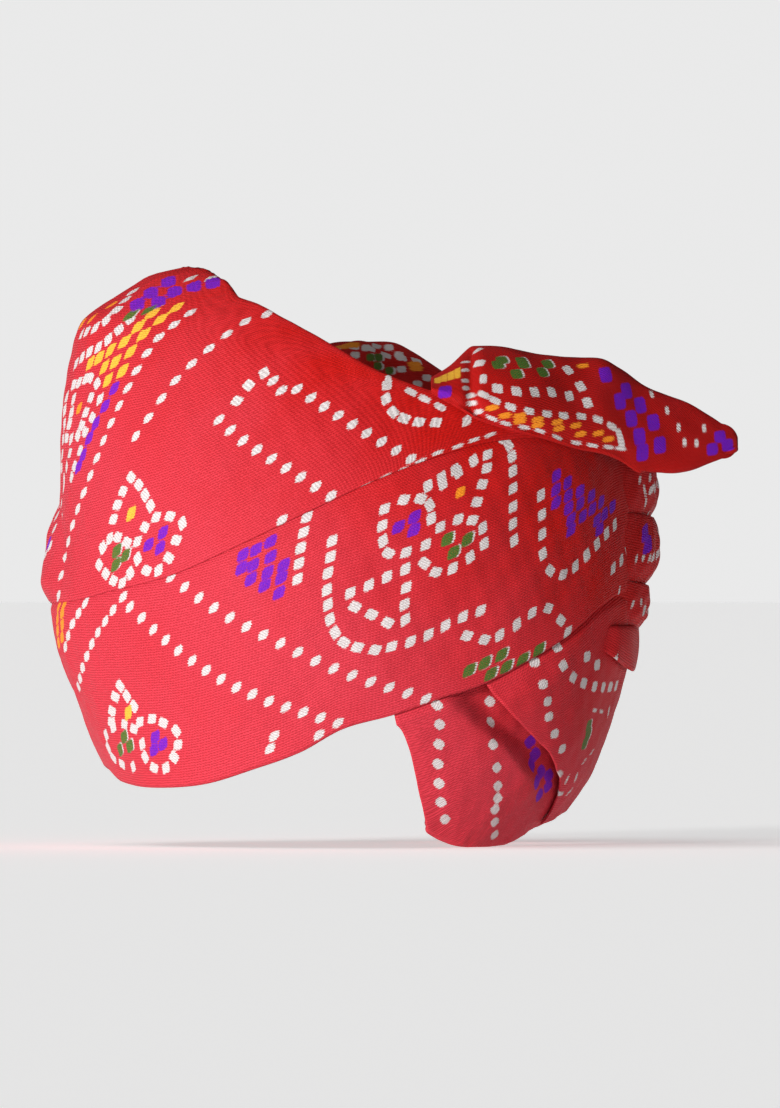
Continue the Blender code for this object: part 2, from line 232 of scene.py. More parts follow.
def printedCotton(name="printedCotton"):
    material = bpy.data.materials.new(name)
    material.use_nodes = True
    tree = material.node_tree
    links = tree.links
    shader = tree.nodes["Principled BSDF"]

    # the weave: ribs across, finer threads along, both a little uneven, on the cloth's own lengths
    lengths = addNode(tree, "ShaderNodeUVMap", uv_map="weave")
    inMillimetres = addNode(tree, "ShaderNodeMapping")
    inMillimetres.inputs["Scale"].default_value = (1000.0, 1000.0, 1000.0)
    links.new(lengths.outputs["UV"], inMillimetres.inputs["Vector"])
    weave = inMillimetres.outputs["Vector"]
    waveRate = math.pi / 10  # a wave texture of scale 1 repeats after this length
    ribs = addNode(tree, "ShaderNodeTexWave", wave_type="BANDS", bands_direction="Y")
    threads = addNode(tree, "ShaderNodeTexWave", wave_type="BANDS", bands_direction="DIAGONAL")
    for wave, spacing in ((ribs, cotton["ribSpacing"]), (threads, cotton["threadSpacing"])):
        links.new(weave, wave.inputs["Vector"])
        wave.inputs["Scale"].default_value = waveRate / spacing
        wave.inputs["Distortion"].default_value = cotton["distortion"]
        wave.inputs["Detail"].default_value = 1.5
        wave.inputs["Detail Scale"].default_value = 1.6
    slub, cloud = (addNode(tree, "ShaderNodeTexNoise") for _ in range(2))
    for noise, scale, detail in ((slub, cotton["slubScale"], 2.0), (cloud, cotton["cloudScale"], 3.0)):
        noise.inputs["Scale"].default_value = scale
        noise.inputs["Detail"].default_value = detail
        links.new(weave, noise.inputs["Vector"])
    relief = maths(tree, "ADD", maths(tree, "MULTIPLY", ribs.outputs["Fac"], cotton["ribShare"]),
                   maths(tree, "MULTIPLY", threads.outputs["Fac"], cotton["threadShare"]))
    relief = maths(tree, "ADD", relief, maths(tree, "MULTIPLY", slub.outputs["Fac"], cotton["slubShare"]))
    bump = addNode(tree, "ShaderNodeBump")
    bump.inputs["Strength"].default_value = cotton["reliefStrength"]
    bump.inputs["Distance"].default_value = cotton["reliefHeight"]
    links.new(relief, bump.inputs["Height"])
    links.new(bump.outputs["Normal"], shader.inputs["Normal"])

    # the ground colour: paler towards the brow with painted light in soft clouds, darker towards the back
    # with painted shade, and darker between the ribs with painted shade
    place = addNode(tree, "ShaderNodeTexCoord")
    parts = addNode(tree, "ShaderNodeSeparateXYZ")
    links.new(place.outputs["Object"], parts.inputs[0])
    # painted light on the lower front and painted shade at the back, both set by place along Y and up Z
    raised = maths(tree, "MULTIPLY", parts.outputs["Z"], cotton["paintedLightUp"])
    litBrowToShadedBack = maths(tree, "ADD", parts.outputs["Y"], raised)
    paintedLight = spread(tree, litBrowToShadedBack, cotton["paintedLightFrom"], cotton["paintedLightTo"])
    clouded = spread(tree, cloud.outputs["Fac"], 0.3, 0.7, -cotton["cloudiness"], cotton["cloudiness"])
    # painted shade: the cloth turns darker towards the back and up over the tail
    ground = mixColour(tree, spread(tree, litBrowToShadedBack, cotton["paintedShadeFrom"], cotton["paintedShadeTo"]),
                       cotton["deep"], cotton["paintedShadeBack"])
    ground = mixColour(tree, maths(tree, "ADD", paintedLight, clouded), ground, cotton["paintedLitBrow"])
    # painted shade in the grooves between the ribs, darker where the relief is low
    grooved = spread(tree, relief, 0.28, 0.72, cotton["grooveShare"], 0.0)
    ground = mixColour(tree, grooved, ground, cotton["groove"])

    # the print: how far inside a mark each point lies, in millimetres, with an edge that follows threads
    ragged, ribbed = (
        maths(tree, "MULTIPLY", maths(tree, "SUBTRACT", node.outputs["Fac"], 0.5), reach)
        for node, reach in ((slub, cotton["raggedSlub"]), (ribs, cotton["raggedRib"]))
    )
    ragged = maths(tree, "ADD", ragged, ribbed)

    def inked(attribute):
        distance = addNode(tree, "ShaderNodeAttribute", attribute_type="GEOMETRY", attribute_name=attribute)
        jagged = maths(tree, "ADD", distance.outputs["Fac"], ragged)
        return spread(tree, jagged, -cotton["edge"], cotton["edge"])

    speck = spread(tree, threads.outputs["Fac"], 0.25, 0.75, cotton["speck"], 0.0)
    white = mixColour(tree, speck, cotton["white"], cotton["whiteShade"])
    tint = addNode(tree, "ShaderNodeAttribute", attribute_type="GEOMETRY", attribute_name="dyeTint")
    dyed = mixColour(tree, spread(tree, slub.outputs["Fac"], 0.35, 0.70, 0.0, cotton["groundThroughDye"]),
                     tint.outputs["Color"], ground)
    colour = mixColour(tree, inked("whitePrint"), ground, white)
    colour = mixColour(tree, inked("dyePrint"), colour, dyed)
    links.new(colour, shader.inputs["Base Color"])
    rough = spread(tree, relief, 0.2, 0.9, cotton["roughest"], cotton["smoothest"])
    links.new(rough, shader.inputs["Roughness"])
    shader.inputs["Specular IOR Level"].default_value = cotton["gloss"]
    shader.inputs["Specular Tint"].default_value = (0.86, 0.80, 1.0, 1.0)
    shader.inputs["Sheen Weight"].default_value = cotton["sheen"]
    shader.inputs["Sheen Roughness"].default_value = 0.5
    shader.inputs["Sheen Tint"].default_value = (1.0, 0.6, 0.65, 1.0)
    return material


printCotton = printedCotton()
crownCotton = printedCotton("crownCotton")

# ---- the wound body: the same form as the solids, from the same shares

body = {
    "halfLength": 0.1185,
    "halfWidth": 0.095,
    "peak": 0.1724,
    "browWedge": 0.10,
    "cloth": 0.0024,
    "woundWall": 0.0100,
    "napeWall": 0.0038,
    "layer": 0.0029,
    "wrapLip": 0.0006,
    "wrapRun": 0.0030,
    "napeLip": 0.0019,
    "napeRun": 0.0050,
    "tuck": 0.019,
    "napeRoom": 0.021,
    "lapFall": 0.010,  # how far a covered layer takes to sink in behind
    "tuckShare": 0.14,  # of a hanging layer's rows, those that are tucked up
    "lipShare": 0.20,  # and those up to the end of the cover's lip
}
# height, reach to the front, reach to the back, half width, as shares
sections = (
    (-0.32, 0.740, 0.560, 0.760),
    (-0.25, 0.760, 0.665, 0.800),
    (-0.16, 0.790, 0.772, 0.850),
    (-0.06, 0.852, 0.842, 0.892),
    (0.03, 0.897, 0.885, 0.930),
    (0.14, 0.958, 0.925, 0.968),
    (0.25, 0.982, 0.945, 0.990),
    (0.36, 0.970, 0.953, 1.000),
    (0.50, 0.963, 0.950, 0.985),
    (0.60, 0.958, 0.930, 0.940),
    (0.70, 0.948, 0.885, 0.870),
    (0.80, 0.922, 0.820, 0.780),
    (0.88, 0.888, 0.740, 0.670),
    (0.92, 0.818, 0.690, 0.605),
    (0.96, 0.722, 0.630, 0.525),
    (0.983, 0.660, 0.590, 0.460),
    (1.00, 0.556, 0.560, 0.400),
)
# edges of the layers: angle from the forehead, height
upperLow = (
    (0, 0.247), (22, 0.253), (35, 0.272), (52, 0.308), (68, 0.378),
    (81, 0.448), (95, 0.523), (108, 0.578), (120, 0.610), (135, 0.618), (155, 0.606), (180, 0.600),
)
upperTop = (
    (0, 1.000), (33, 0.993), (53, 0.970), (62, 0.932), (69, 0.912), (77, 0.876), (85, 0.830),
    (92, 0.787), (98, 0.757), (111, 0.712), (122, 0.694), (140, 0.682), (160, 0.672), (180, 0.668),
)
lowerLow = (
    (0, -0.118), (8, -0.127), (17, -0.152), (34, -0.161), (53, -0.152), (69, -0.113), (79, -0.079),
    (88, -0.032), (99, 0.000), (110, 0.041), (119, 0.070), (127, 0.113), (134, 0.149),
    (141, 0.188), (150, 0.242), (158, 0.270), (170, 0.280), (180, 0.280),
)
lowerTop = (
    (0, 0.370), (44, 0.420), (68, 0.500), (81, 0.560), (95, 0.605), (108, 0.640),
    (120, 0.648), (135, 0.644), (155, 0.634), (180, 0.628),
)
farTop = (
    (0, 0.505), (30, 0.545), (60, 0.625), (90, 0.690), (104, 0.692), (116, 0.668),
)
napeLow = (
    (97, -0.060), (103, -0.150), (108, -0.225), (114, -0.262), (124, -0.288), (137, -0.298),
    (146, -0.294), (157, -0.278), (166, -0.254), (180, -0.222),
)
# share of the way down, angle
napeSide = (
    (0.00, 98.0), (0.30, 101.0), (0.58, 103.4), (0.83, 106.6), (1.00, 112.0),
)
foldSide = (
    (0.00, 112), (0.25, 120), (0.45, 126), (0.65, 134), (0.74, 138), (0.87, 142), (0.94, 146),
    (1.00, 153),
)
foldLow = (
    (112, -0.270), (148, -0.262), (153, -0.258), (160, -0.250), (169, -0.232), (180, -0.208),
    (198, -0.165), (216, -0.100),
)
# height, angle
foldByHeight = (
    (-0.30, 166), (-0.16, 152), (-0.12, 145), (-0.08, 139), (-0.04, 132), (0.01, 125), (0.07, 119),
    (0.16, 113), (0.28, 108),
)
crownEdge = (
    (0, 0.700), (60, 0.700), (95, 0.690), (112, 0.676), (125, 0.668), (140, 0.664), (180, 0.646),
)
# share of the way out, share of the rise left
crownRise = (
    (0.00, 1.000), (0.10, 0.965), (0.18, 0.820), (0.24, 0.690), (0.30, 0.570), (0.45, 0.360),
    (0.70, 0.150), (1.00, 0.000),
)
# low, high, bulge
pleats = (
    (0.437, 0.580, 0.75),
    (0.289, 0.431, 1.00),
    (0.195, 0.276, 0.35),
)
panelLow = (
    (151, 0.150), (160, 0.118), (172, 0.100), (184, 0.104), (196, 0.130),
)
# share along, ridge, hem and far heights, their sideways places
tail = (
    (0.000, 0.752, 0.722, 0.748, 0.640, 0.800, 0.420),
    (0.064, 0.780, 0.700, 0.768, 0.600, 0.820, 0.330),
    (0.120, 0.818, 0.680, 0.778, 0.560, 0.830, 0.250),
    (0.139, 0.824, 0.672, 0.778, 0.555, 0.830, 0.240),
    (0.249, 0.819, 0.648, 0.760, 0.510, 0.790, 0.140),
    (0.357, 0.805, 0.630, 0.740, 0.470, 0.720, 0.070),
    (0.480, 0.797, 0.606, 0.728, 0.430, 0.610, 0.020),
    (0.560, 0.796, 0.596, 0.720, 0.390, 0.550, 0.000),
    (0.618, 0.772, 0.580, 0.712, 0.360, 0.500, 0.000),
    (0.684, 0.738, 0.552, 0.690, 0.325, 0.445, 0.010),
    (0.765, 0.716, 0.538, 0.655, 0.285, 0.380, 0.030),
    (0.834, 0.697, 0.545, 0.630, 0.250, 0.330, 0.060),
    (0.896, 0.674, 0.558, 0.615, 0.222, 0.285, 0.090),
    (0.950, 0.650, 0.573, 0.605, 0.200, 0.245, 0.120),
    (1.000, 0.622, 0.598, 0.606, 0.175, 0.205, 0.145),
)


def curve(rows, at, column=1):
    # the smooth curve through one column of a table, held level past its ends
    table = np.asarray(rows, float)
    return follow(table[:, 0], table[:, column], at)


def follow(stations, values, at):
    # values may be one number for each station, or a row of numbers, one for each point
    stations, values = np.asarray(stations, float), np.asarray(values, float)
    at = np.clip(np.asarray(at, float), stations[0], stations[-1])
    after = np.clip(np.searchsorted(stations, at), 1, len(stations) - 1)
    first, last = np.maximum(after - 2, 0), np.minimum(after + 1, len(stations) - 1)
    if values.ndim == 2:
        every = np.arange(values.shape[1])
        pick = lambda index: values[index, every]
    else:
        pick = lambda index: values[index]
    span = stations[after] - stations[after - 1]
    leanIn = (pick(after) - pick(first)) / (stations[after] - stations[first]) * span
    leanOut = (pick(last) - pick(after - 1)) / (stations[last] - stations[after - 1]) * span
    t = (at - stations[after - 1]) / span
    return (
        pick(after - 1) * (2 * t**3 - 3 * t**2 + 1)
        + leanIn * (t**3 - 2 * t**2 + t)
        + pick(after) * (3 * t**2 - 2 * t**3)
        + leanOut * (t**3 - t**2)
    )


def mix(a, b, t):
    return a + (b - a) * t


def ease(t):
    t = np.clip(t, 0.0, 1.0)
    return t * t * (3 - 2 * t)


def steps(share, pairs):
    # straight lines through (share, value) pairs
    result = pairs[0][1] + 0.0 * share
    for before, after in zip(pairs, pairs[1:]):
        along = np.clip((share - before[0]) / (after[0] - before[0]), 0, 1)
        result = np.where(share > before[0], mix(before[1], after[1], along), result)
    return result


def sideAngle(turn):
    return np.abs((turn + 180.0) % 360.0 - 180.0)


def form(turn, height):
    angle = np.radians(turn)
    forward = np.cos(angle)
    reach = np.where(forward > 0, curve(sections, height, 1), curve(sections, height, 2))
    half = curve(sections, height, 3) * body["halfWidth"]
    narrowing = 1 - body["browWedge"] * np.maximum(forward, 0.0) ** 2
    return np.stack([
        half * np.sin(angle) * narrowing,
        -reach * body["halfLength"] * forward,
        height * body["peak"],
    ], axis=-1)


def unit(vectors):
    return vectors / np.maximum(np.linalg.norm(vectors, axis=-1, keepdims=True), 1e-12)


def outward(turn, height):
    along = form(turn + 1.0, height) - form(turn - 1.0, height)
    up = form(turn, height + 0.01) - form(turn, height - 0.01)
    return unit(np.cross(along, up))


def cushion(turn, height):
    # soft rises and hollows that every layer on the body shares, so that layers stay apart
    angle = np.radians(turn)
    return (
        0.00055 * np.sin(3 * angle + 6.0 * height + 0.6)
        + 0.00040 * np.sin(5 * angle - 9.0 * height + 2.2)
        + 0.00030 * np.sin(9 * angle + 14.0 * height + 4.0)
        + 0.00018 * np.sin(17 * angle - 21.0 * height + 1.0)
    )


def pucker(turn, height, seed):
    # fine slanting ripples of one layer
    angle = np.radians(turn)
    return 0.00010 * (
        np.sin(31 * angle + (40 + seed) * height + seed)
        + np.sin(47 * angle - (66 - seed) * height + 2 * seed)
        + 0.6 * np.sin(83 * angle + 55 * height + 3 * seed)
    )


def onBody(turn, height, depth):
    turn, height = np.asarray(turn, float), np.asarray(height, float)
    return form(turn, height) - outward(turn, height) * (depth - cushion(turn, height))[..., None]


def lapDepth(height, edge, lip, run):
    # the covered layer slopes in just before the edge and goes on down behind it
    above = (height - edge) * body["peak"]
    return lip * ease(1 + above / run) + (body["layer"] - lip) * ease(above / body["lapFall"])


def nearSide(u):
    # more columns on the side that the photograph shows
    share = steps(u, ((0.0, 0.0), (0.39, 0.5), (1.0, 1.0)))
    return mix(-180.0, 180.0, share)


# ---- a closed layer of cloth, made from one grid that goes round its cross-section


def clothPlan(outer, inner, roll=4, closed=True):
    # rows round the section: share of the way up, turn of the rolled edge, and which edge it is
    rows = [(step / outer, 0.0, 0) for step in range(outer + 1)]
    rows += [(1.0, math.pi * step / roll, 1) for step in range(1, roll)]
    rows += [(1 - step / inner, math.pi, 0) for step in range(inner + 1)]
    if closed:
        rows += [(0.0, math.pi * (1 - step / roll), -1) for step in range(1, roll)]
        rows.append(rows[0])
    return np.array(rows)


def clothLengths(points, columns, rows):
    # how far along and across the cloth each point lies, measured on the finished shape
    grid = points.reshape(rows + 1, columns + 1, 3)
    along = np.linalg.norm(np.diff(grid, axis=1), axis=2)
    along = np.concatenate([np.zeros((rows + 1, 1)), np.cumsum(along, axis=1)], axis=1)
    across = np.linalg.norm(np.diff(grid, axis=0), axis=2)
    across = np.concatenate([np.zeros((1, columns + 1)), np.cumsum(across, axis=0)], axis=0)
    return np.stack([along - along.mean(axis=1, keepdims=True), across], axis=-1).reshape(-1, 2)


def layCloth(name, place, sizes, material=printCotton):
    # sizes gives its columns, and its rows on the outer and the inner face or the same number for both
    columns = sizes["columns"]
    outer, inner = (sizes.get(face, sizes.get("rows")) for face in ("outer", "inner"))
    plan = clothPlan(outer, inner, closed=sizes.get("closed", True))
    rows = len(plan) - 1
    shape = bmesh.new()
    bmesh.ops.create_grid(shape, x_segments=columns, y_segments=rows, size=0.5)
    mesh = bpy.data.meshes.new(name)
    shape.to_mesh(mesh)
    shape.free()
    flat = np.zeros(len(mesh.vertices) * 3)
    mesh.vertices.foreach_get("co", flat)
    flat = flat.reshape(-1, 3) + 0.5
    column = np.rint(flat[:, 0] * columns).astype(int)
    row = np.rint(flat[:, 1] * rows).astype(int)
    order = row * (columns + 1) + column
    gridColumn = np.tile(np.arange(columns + 1), rows + 1)
    gridRow = np.repeat(np.arange(rows + 1), columns + 1)
    points = place(gridColumn / columns, *plan[gridRow].T)
    lengths = clothLengths(points, columns, rows)
    mesh.vertices.foreach_set("co", points[order].ravel())
    corner = np.zeros(len(mesh.loops), int)
    mesh.loops.foreach_get("vertex_index", corner)
    mesh.uv_layers.new(name="weave").data.foreach_set("uv", lengths[order][corner].ravel())

    # the ends, the ring's seam and the last row are joined
    shape = bmesh.new()
    shape.from_mesh(mesh)
    bmesh.ops.remove_doubles(shape, verts=shape.verts, dist=0.000002)
    bmesh.ops.recalc_face_normals(shape, faces=shape.faces)
    if shape.calc_volume(signed=True) < 0:
        bmesh.ops.reverse_faces(shape, faces=shape.faces)
    shape.to_mesh(mesh)
    shape.free()
    mesh.shade_smooth()
    mesh.materials.append(material)
    cloth = bpy.data.objects.new(name, mesh)
    bpy.context.scene.collection.objects.link(cloth)
    area = sum(face.area for face in mesh.polygons)
    print(name, len(mesh.polygons), "faces, cloth of", round(area / 2, 4), "square metres")
    return cloth


def endTaper(u, width, softness):
    # 1 along a piece, falling to 0 in a rounded end
    reach = np.minimum(u, 1 - u) * width / softness
    return np.sqrt(np.clip(1 - (1 - np.clip(reach, 0, 1)) ** 2, 0, 1))


def rolled(height, share, turnOfEdge, edge, wall):
    return height + edge * np.sin(turnOfEdge) * wall / 2 / body["peak"]


def walled(wall, turnOfEdge):
    return wall * (1 - np.cos(turnOfEdge)) / 2


# ---- the pieces, each with its sizes beside it

upperWrap = {"columns": 640, "outer": 124, "inner": 16, "spare": 0.00015}


def placeUpper(u, share, roll, edge):
    turn = nearSide(u)
    low, top = curve(upperLow, sideAngle(turn)), curve(upperTop, sideAngle(turn))
    height = mix(low, top, share)
    lap = lapDepth(height, low, body["wrapLip"], body["wrapRun"])
    wall = np.minimum(body["cloth"], lap - upperWrap["spare"])
    height = rolled(height, share, roll, edge, wall)
    fromLow = (mix(low, top, share) - low) * body["peak"]
    depth = walled(wall, roll) - pucker(turn, height, 1.0) * ease(fromLow / 0.02)
    return onBody(turn, height, depth)


upper = layCloth("tallWrap", placeUpper, upperWrap)

lowerWrap = {
    "columns": 640, "outer": 124, "inner": 16, "visibleShare": 0.88, "lapShare": 0.92,
    "behindFrom": 84, "behindRun": 8,  # degrees from the forehead, where the nape's layers begin
    "rimRoll": 0.013, "rimRollBehind": 0.020, "topRoll": 0.014, "thinBehind": 0.72,
}


def placeLower(u, share, roll, edge):
    turn = nearSide(u)
    angle = sideAngle(turn)
    low, top, cover = curve(lowerLow, angle), curve(lowerTop, angle), curve(upperLow, angle)
    height = steps(share, (
        (0.0, low),
        (lowerWrap["visibleShare"], cover - body["wrapRun"] / body["peak"]),
        (lowerWrap["lapShare"], cover),
        (1.0, top),
    ))
    behind = ease((angle - lowerWrap["behindFrom"]) / lowerWrap["behindRun"])
    fromLow = (height - low) * body["peak"]
    rimRoll = mix(lowerWrap["rimRoll"], lowerWrap["rimRollBehind"], behind)
    wound = ease((fromLow - mix(0.0, body["napeRoom"], behind)) / rimRoll)
    wound = wound * ease((top - height) * body["peak"] / lowerWrap["topRoll"])
    wall = mix(body["cloth"] * mix(1.0, lowerWrap["thinBehind"], behind), body["woundWall"], wound)
    covered = lapDepth(height, cover, body["wrapLip"], body["wrapRun"])
    ripple = pucker(turn, height, 2.0) * ease(fromLow / 0.02) * ease((cover - height) * body["peak"] / 0.006)
    height = rolled(height, share, roll, edge, wall)
    return onBody(turn, height, covered + walled(wall, roll) - ripple)


lower = layCloth("roundWrap", placeLower, lowerWrap)


def hanging(share, top, cover, low):
    # tucked up under the cover, out past its lip and down to the low edge
    return steps(share, (
        (0.0, top),
        (body["tuckShare"], cover),
        (body["lipShare"], cover - body["napeRun"] / body["peak"]),
        (1.0, low),
    ))


def shallowed(share):
    # the fold grows shallower towards the low edge
    return ease((share - 0.62) / 0.30)


napeWrap = {
    "columns": 190, "rows": 84, "length": 0.21, "end": 0.0030, "deepFold": 0.0058, "shallowFold": 0.0019,
    "foldBefore": 13, "foldRun": 10, "foldEnd": 221, "foldEndRun": 9,  # degrees
}


def placeNape(u, share, roll, edge):
    start = curve(napeSide, share)
    turn = mix(start, 360.0 - start, u)
    angle = sideAngle(turn)
    cover, low = curve(lowerLow, angle), curve(napeLow, angle)
    height = hanging(share, cover + body["tuck"] / body["peak"], cover, low)
    covered = lapDepth(height, cover, body["napeLip"], body["napeRun"])
    slant = curve(foldByHeight, height)
    folded = ease((turn - slant + napeWrap["foldBefore"]) / napeWrap["foldRun"])
    folded = folded * (1 - ease((turn - napeWrap["foldEnd"]) / napeWrap["foldEndRun"]))
    wall = body["napeWall"] * endTaper(u, napeWrap["length"], napeWrap["end"])
    ripple = pucker(turn, height, 3.0) * ease((cover - height) * body["peak"] / 0.008)
    below = mix(napeWrap["deepFold"], napeWrap["shallowFold"], shallowed(share))
    depth = mix(covered, np.maximum(below, covered), folded)
    height = rolled(height, share, roll, -edge, wall)
    return onBody(turn, height, depth + walled(wall, roll) - ripple)


nape = layCloth("napeCloth", placeNape, napeWrap)

napeFold = {
    "columns": 130, "rows": 84, "lastStart": 160.0, "endTurn": 216.0, "length": 0.14, "end": 0.0024,
    "thin": 0.0012, "tuck": 0.85, "bulge": 0.0026, "bulgeWidth": 0.16, "bulgeBelow": 0.004, "bulgeRun": 0.010,
}


def placeFold(u, share, roll, edge):
    start = curve(foldSide, share)
    for _ in range(6):  # the slanting edge lies where its height says
        lip = curve(lowerLow, start) - body["napeRun"] / body["peak"]
        hang = (share - body["lipShare"]) / 0.80
        start = curve(foldByHeight, mix(lip, curve(foldLow, start), hang))
    turn = mix(np.minimum(start, napeFold["lastStart"]), napeFold["endTurn"], u)
    angle = sideAngle(turn)
    cover, low = curve(lowerLow, angle), curve(foldLow, turn)
    height = hanging(share, cover + napeFold["tuck"] * body["tuck"] / body["peak"], cover, low)
    covered = lapDepth(height, cover, body["napeLip"], body["napeRun"])
    shallow = shallowed(share)
    wall = mix(body["cloth"], napeFold["thin"], shallow)
    wall = wall * endTaper(u, napeFold["length"], napeFold["end"])
    nearSlant = np.exp(-((u / napeFold["bulgeWidth"]) ** 2)) * (1 - shallow)
    fallen = (cover - height) * body["peak"] - napeFold["bulgeBelow"]
    proud = napeFold["bulge"] * nearSlant * ease(fallen / napeFold["bulgeRun"])
    ripple = pucker(turn, height, 4.0) * ease((cover - height) * body["peak"] / 0.008)
    height = rolled(height, share, roll, -edge, wall)
    return onBody(turn, height, covered - proud + walled(wall, roll) - ripple)


fold = layCloth("napeFoldCloth", placeFold, napeFold)


def fadeEnds(u, first, last):
    # 0 at both ends of a piece, 1 past those shares of its length
    return ease(u / first) * ease((1 - u) / last)


farWrap = {
    "columns": 240, "rows": 60, "endTurn": 116.0, "frontLow": 24.0, "frontTop": 12.0, "above": 0.006,
    "length": 0.24, "closing": 0.0020, "stand": 0.0046, "thin": 0.0005, "sunk": 0.0013,
    "nearFade": 0.17, "farFade": 0.07, "topFade": 0.46, "lowStart": 0.12, "lowFade": 0.30,
}


def placeFar(u, share, roll, edge):
    # a soft band that lies flush at its near end and swells up over the forehead
    turn = mix(-farWrap["endTurn"], mix(farWrap["frontLow"], farWrap["frontTop"], share), u)
    angle = sideAngle(turn)
    low, top = curve(upperLow, angle) + farWrap["above"], curve(farTop, angle)
    swell = fadeEnds(u, farWrap["farFade"], farWrap["nearFade"])
    swell = swell * ease((1 - share) / farWrap["topFade"])
    swell = swell * ease((share + farWrap["lowStart"]) / farWrap["lowFade"])
    wall = farWrap["thin"] + (body["cloth"] - farWrap["thin"]) * swell
    wall = wall * endTaper(u, farWrap["length"], farWrap["closing"])
    height = rolled(mix(low, top, share), share, roll, edge, wall)
    ripple = pucker(turn, height, 5.0) * swell
    outer = farWrap["sunk"] - (farWrap["sunk"] + farWrap["stand"]) * swell
    return onBody(turn, height, outer + walled(wall, roll) - ripple)


far = layCloth("foreheadWrap", placeFar, farWrap)

backPleat = {
    "columns": 130, "rows": 40, "start": 157.0, "end": 222.0, "length": 0.12, "closing": 0.0020, "fade": 0.26,
    "wall": 0.0013, "thin": 0.0003, "tuck": 0.010, "over": 0.003, "sunk": 0.0020,
    "bulge": 0.0034, "lift": 0.022, "sweep": 0.14, "sweepFrom": 0.35, "phase": 1.7,
}


def pleatPlace(low, top, bulgeShare, phase):
    # a gather whose low edge slips under the top edge of the next one down, and whose ends sink in
    def place(u, share, roll, edge):
        turn = mix(backPleat["start"], backPleat["end"], u)
        across = np.sin(math.pi * u)
        swept = np.maximum(u - backPleat["sweepFrom"], 0.0) ** 1.6
        lift = backPleat["lift"] * (1 - across) + backPleat["sweep"] * swept
        flush = fadeEnds(u, backPleat["fade"], backPleat["fade"])
        wall = mix(backPleat["thin"], backPleat["wall"], flush)
        wall = wall * endTaper(u, backPleat["length"], backPleat["closing"])
        lowEdge, topEdge = low - backPleat["tuck"], top + backPleat["over"]
        height = rolled(mix(lowEdge, topEdge, share) + lift, share, roll, edge, wall)
        rise = np.sin(math.pi * share**0.9) ** 0.75
        crimp = 0.0004 * np.sin(u * 46 + share * 7 + phase)
        crimp = crimp + 0.0003 * np.sin(u * 83 - share * 9 + phase)
        stand = 0.0003 + (0.0012 + 0.0018 * share) * ease(share / 0.3)  # clear of the layer below
        stand = stand + backPleat["bulge"] * bulgeShare * rise
        stand = mix(-backPleat["sunk"], stand + crimp * rise, flush)
        return onBody(turn, height, -stand - wall + walled(wall, roll))

    return place


pleatPlaces = [pleatPlace(*pleat, backPleat["phase"] * number) for number, pleat in enumerate(pleats)]
pleatPieces = [
    layCloth(f"backGather{number}", place, backPleat) for number, place in enumerate(pleatPlaces, 1)
]

backPanel = {
    "columns": 100, "rows": 44, "start": 151.0, "end": 196.0, "top": 0.193, "length": 0.08, "closing": 0.0020,
    "wall": 0.0014, "thin": 0.0003, "firstFade": 0.16, "lastFade": 0.2, "sunk": 0.0014,
    "stand": 0.0004, "lowStand": 0.0016,
}


def placePanel(u, share, roll, edge):
    turn = mix(backPanel["start"], backPanel["end"], u)
    low = curve(panelLow, turn)
    flush = fadeEnds(u, backPanel["firstFade"], backPanel["lastFade"])
    wall = mix(backPanel["thin"], backPanel["wall"], flush)
    wall = wall * endTaper(u, backPanel["length"], backPanel["closing"])
    height = rolled(mix(low, backPanel["top"], share), share, roll, edge, wall)
    soft = 0.0004 * np.sin(u * 19 + share * 4) * flush
    stand = backPanel["stand"] + backPanel["lowStand"] * (1 - share) ** 0.5
    stand = mix(-backPanel["sunk"], stand, flush) + soft * (1 - share)
    return onBody(turn, height, -stand - wall + walled(wall, roll))


panel = layCloth("backPanelCloth", placePanel, backPanel)

crown = {
    "columns": 330, "outer": 90, "inner": 14, "closed": False,
    "peak": 0.838, "middle": 0.050, "broad": 0.48, "crowding": 1.25,
}


def placeCrown(u, share, roll, edge):
    turn = mix(-180.0, 180.0, u)
    angle = np.radians(turn)
    rim = onBody(turn, curve(crownEdge, sideAngle(turn)), np.full(len(u), body["layer"]))
    middle = np.array([0.0, crown["middle"] * body["halfLength"], 0.0])
    v = share ** crown["crowding"]
    point = middle + (rim * np.array([1.0, 1.0, 0.0]) - middle) * v[:, None]
    broad = v * (1 - crown["broad"] * np.abs(np.sin(angle)) * (1 - v))
    gather = 0.0016 * np.sin(angle * 5 + 0.8) * np.sin(math.pi * v)
    gather = gather + 0.0005 * np.sin(angle * 14 + 9 * v) * np.sin(math.pi * v) ** 2
    point[:, 2] = mix(rim[:, 2], crown["peak"] * body["peak"], curve(crownRise, broad)) + gather
    point[:, 2] -= walled(body["cloth"], roll)
    return point


crownPiece = layCloth("crownTop", placeCrown, crown, crownCotton)

tailFlap = {
    "columns": 210, "rows": 150, "root": 0.031, "length": 0.1195, "wall": 0.0018, "end": 0.0018,
    "seat": 0.0013, "leaves": 0.30, "free": 0.50,  # where the hem leaves the body
    "turns": 0.68, "turnRun": 0.10, "return": 0.013, "returnEnd": 0.15,  # where the hem turns back in
    "pinch": 0.128, "pinchDepth": 0.0022, "pinchWidth": 0.022, "pinchSlant": 0.02,
    "puff": 0.30, "puffHeight": 0.0024, "puffWidth": 0.13,
    "knob": 0.945, "knobHalf": 0.040, "past": 1.002,
}


def bodySide(along, height):
    reach = curve(sections, height, 2) * body["halfLength"]
    turn = 180.0 - np.degrees(np.arccos(np.minimum(along / reach, 1.0)))
    return form(turn, height)[:, 0]


